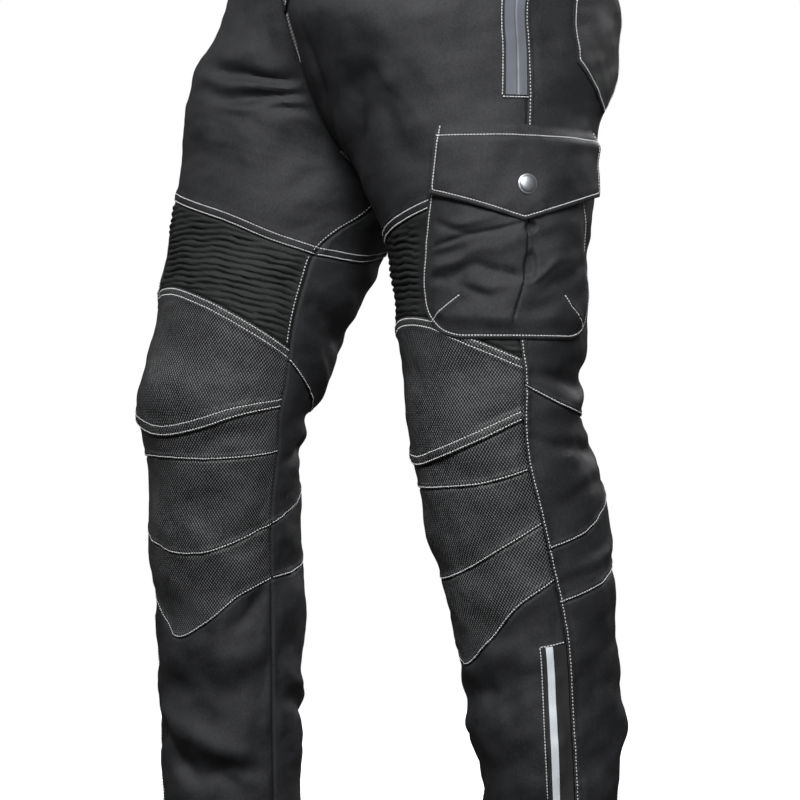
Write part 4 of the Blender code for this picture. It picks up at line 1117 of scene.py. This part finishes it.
def pocket_lift(distances, drops):
    """The pocket's outer face: a sewn rim, loose cloth with folds inside it, a pleat and two darts."""
    across = distances / pocket_width(distances, drops)
    foot = pocket_foot(np.clip(across, -1, 1))
    from_foot = foot - drops
    from_side = (1 - np.abs(across)) * pocket_width(distances, drops)
    down = (drops - POCKET_TOP) / (foot - POCKET_TOP)
    inner = ease((from_side - 0.004) / 0.018) * ease((from_foot - 0.004) / 0.018)
    held_down = 0.55 + 0.45 * ease((drops - FLAP_SIDE - 0.010) / 0.030)
    bulge = POCKET_BULGE * 0.75 * inner * held_down * ease(down / 0.30)
    folds = np.zeros(np.broadcast(distances, drops).shape)
    sway = 0.0020 * unevenness(distances, drops, 0.050, 61)
    for fold in POCKET_FOLDS:
        folds = folds + one_fold(distances + sway, drops + sway, fold[:2], fold[2:4], fold.width, fold.height)
    # The pleat's edge steps down to its right, and its mouths gape there
    edge = 0.004 - 0.010 * ease((drops - 0.400) / 0.060)
    step = 0.0016 * (0.5 - 0.5 * np.tanh((distances - edge) / 0.0009))
    step = step * ease((0.030 - np.abs(distances - edge)) / 0.025)
    line = -0.0020 * np.exp(-((distances - edge - 0.0008) / 0.0009) ** 2)
    line = line * (1 - ease((drops - 0.445) / 0.010))
    for middle, level_at, half_width, half_height in PLEAT_MOUTHS:
        reach = np.hypot((distances - middle) / half_width, (drops - level_at) / half_height)
        folds = folds - 0.0046 * (1 - ease((reach - 0.45) / 0.60))
    for dart in DARTS:
        for a, b in zip(dart, dart[1:]):
            folds = folds + one_fold(distances, drops, a, b, 0.0042, 0.0014)
            folds = folds - 0.0010 * np.exp(-(distance_to(distances, drops, a, b) / 0.0011) ** 2)
    rim = POCKET_RIM - 0.0014 * (1 - ease(from_side / 0.0022)) - 0.0014 * (1 - ease(from_foot / 0.0022))
    rim = rim - 0.0007 * np.exp(-((np.minimum(from_side, from_foot) - ROW_INSET) / 0.0011) ** 2)
    soft = 0.0006 * unevenness(distances, drops, 0.030, 62) * inner
    loose = inner * ease((drops - 0.340) / 0.012)
    shape = bulge + (folds + step + line) * loose + soft
    return LAY_GAP + np.maximum(rim, 0.0004) + np.maximum(shape, -0.0006)


def distance_to(x, y, a, b):
    """The distance from points to a straight line between two points."""
    a, b = np.array(a), np.array(b)
    along = (b - a) / np.dot(b - a, b - a)
    inside = np.clip((x - a[0]) * along[0] + (y - a[1]) * along[1], 0, 1)
    return np.hypot(x - a[0] - inside * (b - a)[0], y - a[1] - inside * (b - a)[1])


def cargo_pocket(leg):
    pocket = Laid(leg, "cargo_pocket", pocket_lift)
    rim = np.array([0, 0.004, 0.010, 0.018, 0.028, 0.040])
    across = np.concatenate([rim - 1, np.linspace(-0.95, 0.95, 150), 1 - rim[::-1]])
    down = np.concatenate([np.linspace(0, 0.97, 120), [0.978, 0.985, 0.991, 0.996, 1]])[:, None]
    drops = POCKET_TOP + down * (pocket_foot(across) - POCKET_TOP)
    pocket.build(across * pocket_width(across, drops), drops, rests_on=[f"front_{leg.name}_cloth"])
    inset = ROW_INSET
    for dart in DARTS:
        distances, levels = (np.array(values) for values in zip(*dart))
        pocket.sew(distances, levels)
        pocket.sew(distances[-1] + np.array([-0.0012, 0.0012]), levels[-1] + np.array([0.0, 0.0004]))
    turn = np.linspace(-1, 1, 160)
    foot = pocket_foot(turn) - inset
    edge = (pocket_width(turn, foot) - inset) * turn
    side = np.linspace(FLAP_SIDE - 0.01, foot[0], 40)
    front, rear = inset - pocket_width(-1, side), pocket_width(1, side) - inset
    pocket.sew(np.concatenate([front, edge, rear[::-1]]), np.concatenate([side, foot, side[::-1]]))


def flap_edge(across):
    """The drop of the flap's lower edge: level towards each side, with a point in the middle."""
    return FLAP_SIDE + (FLAP_POINT - FLAP_SIDE) * (1 - np.abs(across)) ** 1.15


def flap_lift(distances, drops):
    """The flap's outer face: sewn along its top, rolled at its edges, and a little slack between them."""
    width = np.where(distances < 0, FLAP_FRONT_WIDTH, FLAP_REAR_WIDTH)
    from_side = width - np.abs(distances)
    from_foot = flap_edge(np.clip(distances / width, -1, 1)) - drops
    edge = np.minimum(from_side, from_foot)
    lift = LAY_GAP + FLAP_STAND_OFF * ease((drops - FLAP_TOP) / 0.018) + FLAP_CLOTH
    lift = lift - 0.0008 * (1 - ease(edge / 0.0018)) - 0.0007 * np.exp(-((edge - ROW_INSET) / 0.0011) ** 2)
    lift = lift - 0.0009 * np.exp(-((drops - FLAP_TOP - FLAP_ROW) / 0.0014) ** 2)
    pucker = 0.0004 * unevenness(distances, drops * 0, 0.013, 71) * np.exp(-((edge - 0.005) / 0.006) ** 2)
    return lift + pucker + 0.0007 * unevenness(distances, drops, 0.045, 72) * ease(edge / 0.02)


def cargo_flap(leg):
    flap = Laid(leg, "cargo_flap", flap_lift, thickness=FLAP_CLOTH)
    rim = np.array([0, 0.006, 0.014, 0.022, 0.032, 0.044])
    across = np.concatenate([rim - 1, np.linspace(-0.945, 0.945, 110), 1 - rim[::-1]])
    down = np.concatenate([np.linspace(0, 0.93, 52), [0.945, 0.958, 0.968, 0.978, 0.988, 1]])[:, None]
    drops = FLAP_TOP + down * (flap_edge(across) - FLAP_TOP)
    width = np.where(across < 0, FLAP_FRONT_WIDTH, FLAP_REAR_WIDTH)
    flap.build(across * width, drops, rests_on=[f"cargo_pocket_{leg.name}_cloth"])
    inset = ROW_INSET
    turn = np.linspace(-1, 1, 120)
    foot = flap_edge(turn) - inset
    front, rear = inset - FLAP_FRONT_WIDTH, FLAP_REAR_WIDTH - inset
    sides = np.array([FLAP_TOP + 0.001, foot[0]])
    flap.sew(np.concatenate([[front, front], np.where(turn < 0, -front, rear) * turn, [rear, rear]]),
             np.concatenate([sides, foot, sides[::-1]]))
    flap.sew(np.array([front - 0.003, rear + 0.003]), np.array([FLAP_TOP + FLAP_ROW] * 2))


def spin(profile, steps):
    """Points and faces of a round piece, from its radius and height profile."""
    turn = np.arange(steps) * 2 * math.pi / steps
    points = np.array([[r * math.cos(a), r * math.sin(a), z] for r, z in profile for a in turn])
    faces = []
    for i in range(len(profile) - 1):
        for j in range(steps):
            k = (j + 1) % steps
            faces.append((i * steps + j, i * steps + k, (i + 1) * steps + k, (i + 1) * steps + j))
    faces.append(tuple(range(steps))[::-1])
    faces.append(tuple((len(profile) - 1) * steps + j for j in range(steps)))
    return points, faces


def snap(name, node_name, centre, normal):
    """A press-stud cap: a rolled rim, a shallow ring groove and a domed middle."""
    rim = ((-0.0005, 0.0), (0.0, 0.0004), (0.00005, 0.0010), (-0.0002, 0.0016), (-0.0008, 0.0019),
           (-0.0014, 0.0018), (-0.0017, 0.0019))
    profile = [(SNAP_RADIUS + outward, height) for outward, height in rim]
    dome = np.radians([15, 30, 45, 60, 75, 86])
    profile += [(SNAP_DOME * math.cos(a), 0.0019 + 0.0023 * math.sin(a)) for a in dome]
    points, faces = spin(profile, 40)
    turn = Vector(normal).to_track_quat("Z", "Y").to_matrix()
    points = points @ np.array(turn).T + np.asarray(centre)
    piece = place(name, points, faces, "metal")
    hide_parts(node_name)


def flap_snap(leg):
    drop = np.array(SNAP_DROP)
    wrap = leg.wrap_at(0.0, drop)
    normal, _ = leg.direction(wrap, drop)
    centre = leg.point(wrap, drop, flap_lift(0.0, drop) + 0.0002)
    snap(f"flap_snap_{leg.name}_stud", f"flap_snap_{leg.name}", centre, normal)


def strip(leg, name, edges, top, bottom, lift, slot, thickness=PATCH_CLOTH, columns=14, held="laid"):
    """A straight strip in front of the side seam, between two distances from it."""
    piece = Laid(leg, name, lift, slot, thickness)
    rows = int((bottom - top) / 0.003)
    drops = np.broadcast_to(np.linspace(top, bottom, rows)[:, None], (rows, columns))
    piece.build(-np.linspace(edges[0], edges[1], columns), drops, held, [f"front_{leg.name}_cloth"])
    return piece


def flat_lift(height):
    return lambda distances, drops: height + 0 * (distances + drops)


def slider(leg, name, distance, drop, under):
    """A zip slider with its short cord pull, lying on the zip."""
    across = np.linspace(-1, 1, 9)
    down, width, height = np.array(SLIDER_PROFILE).T
    size = (len(down), len(across))
    drops = np.broadcast_to((drop + SLIDER_LENGTH * down)[:, None], size)
    distances = across * width[:, None] - distance
    wraps = leg.wrap_at(distances, drops)
    rise = under + height[:, None] * np.sqrt(1 - 0.8 * across**2)
    outer, inner = leg.point(wraps, drops, rise), leg.point(wraps, drops, under)
    piece = wall(f"{name}_{leg.name}_metal", leg.side, outer, inner, "metal", np.zeros((*size, 3)))
    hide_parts(f"{name}_{leg.name}")


def zips(leg):
    """The hip zip's tape and the ankle zip's guard with its piping, each with a slider."""
    on_cloth = SEAM_GAP + 0.0002
    on_tape = on_cloth + PATCH_CLOTH + SEAM_GAP
    middle = -HIP_ZIP_WIDTH / 2

    def hip_lift(distances, drops):
        return on_cloth + PATCH_CLOTH - 0.0008 * np.exp(-((distances - middle) / 0.0007) ** 2)

    tape = strip(leg, "hip_zip", (HIP_ZIP_WIDTH, 0.0015), BAND_BOTTOM + 0.004, HIP_ZIP_BOTTOM, hip_lift,
                 "tape", columns=30)
    ends = np.array([BAND_BOTTOM + 0.006, HIP_ZIP_BOTTOM + 0.002])
    tape.sew(np.array([-HIP_ZIP_ROW, -HIP_ZIP_ROW]), ends)
    tape.sew(np.array([-HIP_ZIP_ROW, 0.003]), np.array([HIP_ZIP_BOTTOM + 0.002] * 2))
    slider(leg, "hip_slider", HIP_ZIP_WIDTH / 2, BAND_BOTTOM + 0.012, on_tape)
    piping = (ANKLE_ZIP_WIDTH - 0.003, ANKLE_ZIP_WIDTH - 0.003 - STRIP_WIDTH)
    guard = strip(leg, "ankle_zip", (ANKLE_ZIP_WIDTH, 0.0015), ANKLE_ZIP_TOP, HEM - 0.001,
                  flat_lift(on_cloth + PATCH_CLOTH), "dark")
    strip(leg, "reflective_strip", piping, ANKLE_ZIP_TOP, HEM - 0.001, flat_lift(on_tape + 0.0008),
          "reflective", 0.0008, columns=6, held=None)
    guard.sew(np.array([-ANKLE_ZIP_ROW, -ANKLE_ZIP_ROW]), np.array([ANKLE_ZIP_TOP, HEM - 0.001]))
    guard.sew(np.array([-ANKLE_ZIP_ROW, 0.0]), np.array([ANKLE_ZIP_TOP, ANKLE_ZIP_TOP - 0.003]))
    slider(leg, "ankle_slider", 0.008, HEM - 0.045, on_tape)


def back_pocket_foot(across):
    return BACK_POCKET_SIDE + (BACK_POCKET_POINT - BACK_POCKET_SIDE) * (1 - np.abs(2 * across - 1))


def back_pocket(leg):
    """The patch pocket on the seat, pointed at its foot."""
    across = np.linspace(0, 1, 44)
    drops = BACK_POCKET_TOP + np.linspace(0, 1, 60)[:, None] * (back_pocket_foot(across) - BACK_POCKET_TOP)
    pocket = Laid(leg, "back_pocket", flat_lift(LAY_GAP + PATCH_CLOTH), thickness=PATCH_CLOTH)
    pocket.build(BACK_POCKET_NEAR + across * BACK_POCKET_WIDTH, drops, rests_on=[f"seat_{leg.name}_cloth"])
    inset = 0.003
    foot = back_pocket_foot(across) - inset
    edge = BACK_POCKET_NEAR + inset + across * (BACK_POCKET_WIDTH - 2 * inset)
    pocket.sew(np.concatenate([[edge[0]], edge, [edge[-1]]]),
               np.concatenate([[BACK_POCKET_TOP + 0.002], foot, [BACK_POCKET_TOP + 0.002]]))
    pocket.sew(edge, np.full(len(edge), BACK_POCKET_TOP + 0.018))


def waistband(right, left):
    """A doubled band round the waist. Its left end laps over its right end at the front."""
    drops = np.concatenate([
        [BAND_TOP, BAND_TOP + 0.0006],
        np.linspace(BAND_TOP + 0.0015, BAND_BOTTOM - 0.0017, 13),
        [BAND_BOTTOM - 0.0008, BAND_BOTTOM - 0.0002],
    ])
    turned = np.array([0.0010, 0.0004] + [0] * 13 + [0.0004, 0.0010])
    over = BAND_CLOTH + SEAM_GAP
    half = np.linspace(0, 2, 161)
    stops = [(right, wrap, 0.0) for wrap in half[:-1]]
    stops += [(left, wrap, 0.0) for wrap in half[:0:-1] if wrap > BAND_CLIMB]
    climb = np.linspace(BAND_CLIMB - 0.005, 0, 14)
    stops += [(left, wrap, float(ease(1 - wrap / BAND_CLIMB))) for wrap in climb]
    stops += [(right, wrap, 1.0) for wrap in np.linspace(0.012, BAND_LAP, 12)]
    outer, inner, normals = [], [], []
    for leg, wrap, share in stops:
        wraps = np.full(len(drops), wrap)
        lift = BAND_RISE + share * over
        normal, _ = leg.direction(wraps, drops)
        outer.append(leg.flat_point(wraps, drops) + normal * (lift - turned)[:, None])
        inner.append(leg.flat_point(wraps, drops) + normal * (lift - BAND_CLOTH + turned)[:, None])
        normals.append(normal)
    outer, inner, normals = (np.swapaxes(np.array(grid), 0, 1) for grid in (outer, inner, normals))
    run = np.concatenate([[0], np.cumsum(np.linalg.norm(np.diff(outer[8], axis=0), axis=1))])
    cloth = np.stack(np.broadcast_arrays(run[None, :], drops[:, None], 0.0), -1)
    piece = wall("waistband_cloth", -1, outer, inner, "shell", cloth)
    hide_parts("waistband")
    declare(outer)
    for row in (3, -4):
        sew(right, outer[row, 2:-2], normals[row, 2:-2])
    wrap, drop = np.array(BAND_LAP - 0.050), np.array(0.0)
    normal, _ = right.direction(wrap, drop)
    centre = right.flat_point(wrap, drop) + normal * (BAND_RISE + over + SEAM_GAP)
    snap("waist_snap_stud", "waist_snap", centre, normal)


def fly_width(drops):
    """The fly's width at each drop. It turns in towards its foot."""
    turn = np.clip((drops - FLY_TURN) / (FLY_BOTTOM - FLY_TURN), 0, 1)
    return FLY_WIDTH * np.sqrt(1 - 0.94 * turn**2)


def fly(left):
    """The fly lap on the left front, with its J-shaped lower end."""
    drops = np.linspace(0.021, FLY_BOTTOM, 60)
    _, length = left.direction(np.full(60, 0.06), drops)
    wraps = 0.002 + (fly_width(drops) / length)[:, None] * np.linspace(0, 1, 20)
    drops = np.broadcast_to(drops[:, None], wraps.shape)
    lift = LAY_GAP + PATCH_CLOTH
    outer, inner = left.point(wraps, drops, lift), left.point(wraps, drops, LAY_GAP)
    cloth = np.stack([wraps * length.mean(), drops, np.zeros(drops.shape)], -1)
    piece = wall("fly_left_cloth", 1, outer, inner, "shell", cloth)
    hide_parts("fly_left")
    declare(outer)
    for inset in (0.003, 0.0094):
        down = np.linspace(0.022, FLY_BOTTOM - 0.002 - inset * 0.6, 160)
        row = 0.002 + np.maximum(fly_width(down) - inset, 0.001) / np.interp(down, drops[:, 0], length)
        sew(left, left.point(row, down, lift), left.direction(row, down)[0])


# Camera, light and floor


def studio():
    """Camera, lamps, a white world and a plain floor that casts no light on the cloth."""
    camera = bpy.data.objects.new("camera", bpy.data.cameras.new("camera"))
    camera.data.lens = CAMERA_LENS
    camera.data.sensor_width = 36
    camera.location = CAMERA_PLACE
    camera.rotation_euler = (math.radians(90), 0, math.radians(CAMERA_AZIMUTH))
    bpy.context.scene.collection.objects.link(camera)
    bpy.context.scene.camera = camera
    for name, place_at, size, power in LAMPS:
        lamp = bpy.data.lights.new(name, "AREA")
        lamp.shape = "RECTANGLE"
        lamp.size, lamp.size_y = size
        lamp.energy = power
        holder = bpy.data.objects.new(name, lamp)
        holder.location = place_at
        aim = Vector((0, 0, -0.5)) - Vector(place_at)
        holder.rotation_euler = aim.to_track_quat("-Z", "Y").to_euler()
        bpy.context.scene.collection.objects.link(holder)
    world = bpy.data.worlds.new("studio")
    world.use_nodes = True
    tree = world.node_tree
    background = tree.nodes["Background"]
    background.inputs["Color"].default_value = (1, 1, 1, 1)
    seen = node(tree, "ShaderNodeLightPath").outputs["Is Camera Ray"]
    strength = calculate(tree, "MULTIPLY_ADD", seen, 1 - WORLD_LIGHT, WORLD_LIGHT)
    tree.links.new(strength, background.inputs["Strength"])
    bpy.context.scene.world = world
    bpy.context.scene.view_settings.view_transform = "Standard"
    points = [(0, 0, FLOOR_LEVEL)]
    steps = 96
    for angle in np.arange(steps) * 2 * math.pi / steps:
        points.append((FLOOR_RADIUS * math.cos(angle), FLOOR_RADIUS * math.sin(angle), FLOOR_LEVEL))
    data = bpy.data.meshes.new("floor")
    data.from_pydata(points, [], [(0, 1 + i, 1 + (i + 1) % steps) for i in range(steps)])
    paint, _, shader = new_material("floor", 0.9)
    shader.inputs["Base Color"].default_value = (0.85, 0.85, 0.85, 1)
    shader.inputs["Emission Color"].default_value = (1, 1, 1, 1)
    shader.inputs["Emission Strength"].default_value = FLOOR_GLOW
    data.materials.append(paint)
    floor = bpy.data.objects.new("floor", data)
    floor.visible_diffuse = False
    floor.visible_glossy = False
    bpy.context.scene.collection.objects.link(floor)


def main():
    left = Leg("left", 1, LEFT_LEG, LEFT_SEAMS)
    right = Leg("right", -1, RIGHT_LEG, RIGHT_SEAMS)
    studio()
    waistband(right, left)
    fly(left)
    for leg in (left, right):
        leg_panels(leg)
        cargo_pocket(leg)
        cargo_flap(leg)
        flap_snap(leg)
        zips(leg)
        back_pocket(leg)
    for name, rows in THREAD.items():
        stitch_mesh(f"stitches_{name}", rows)


main()
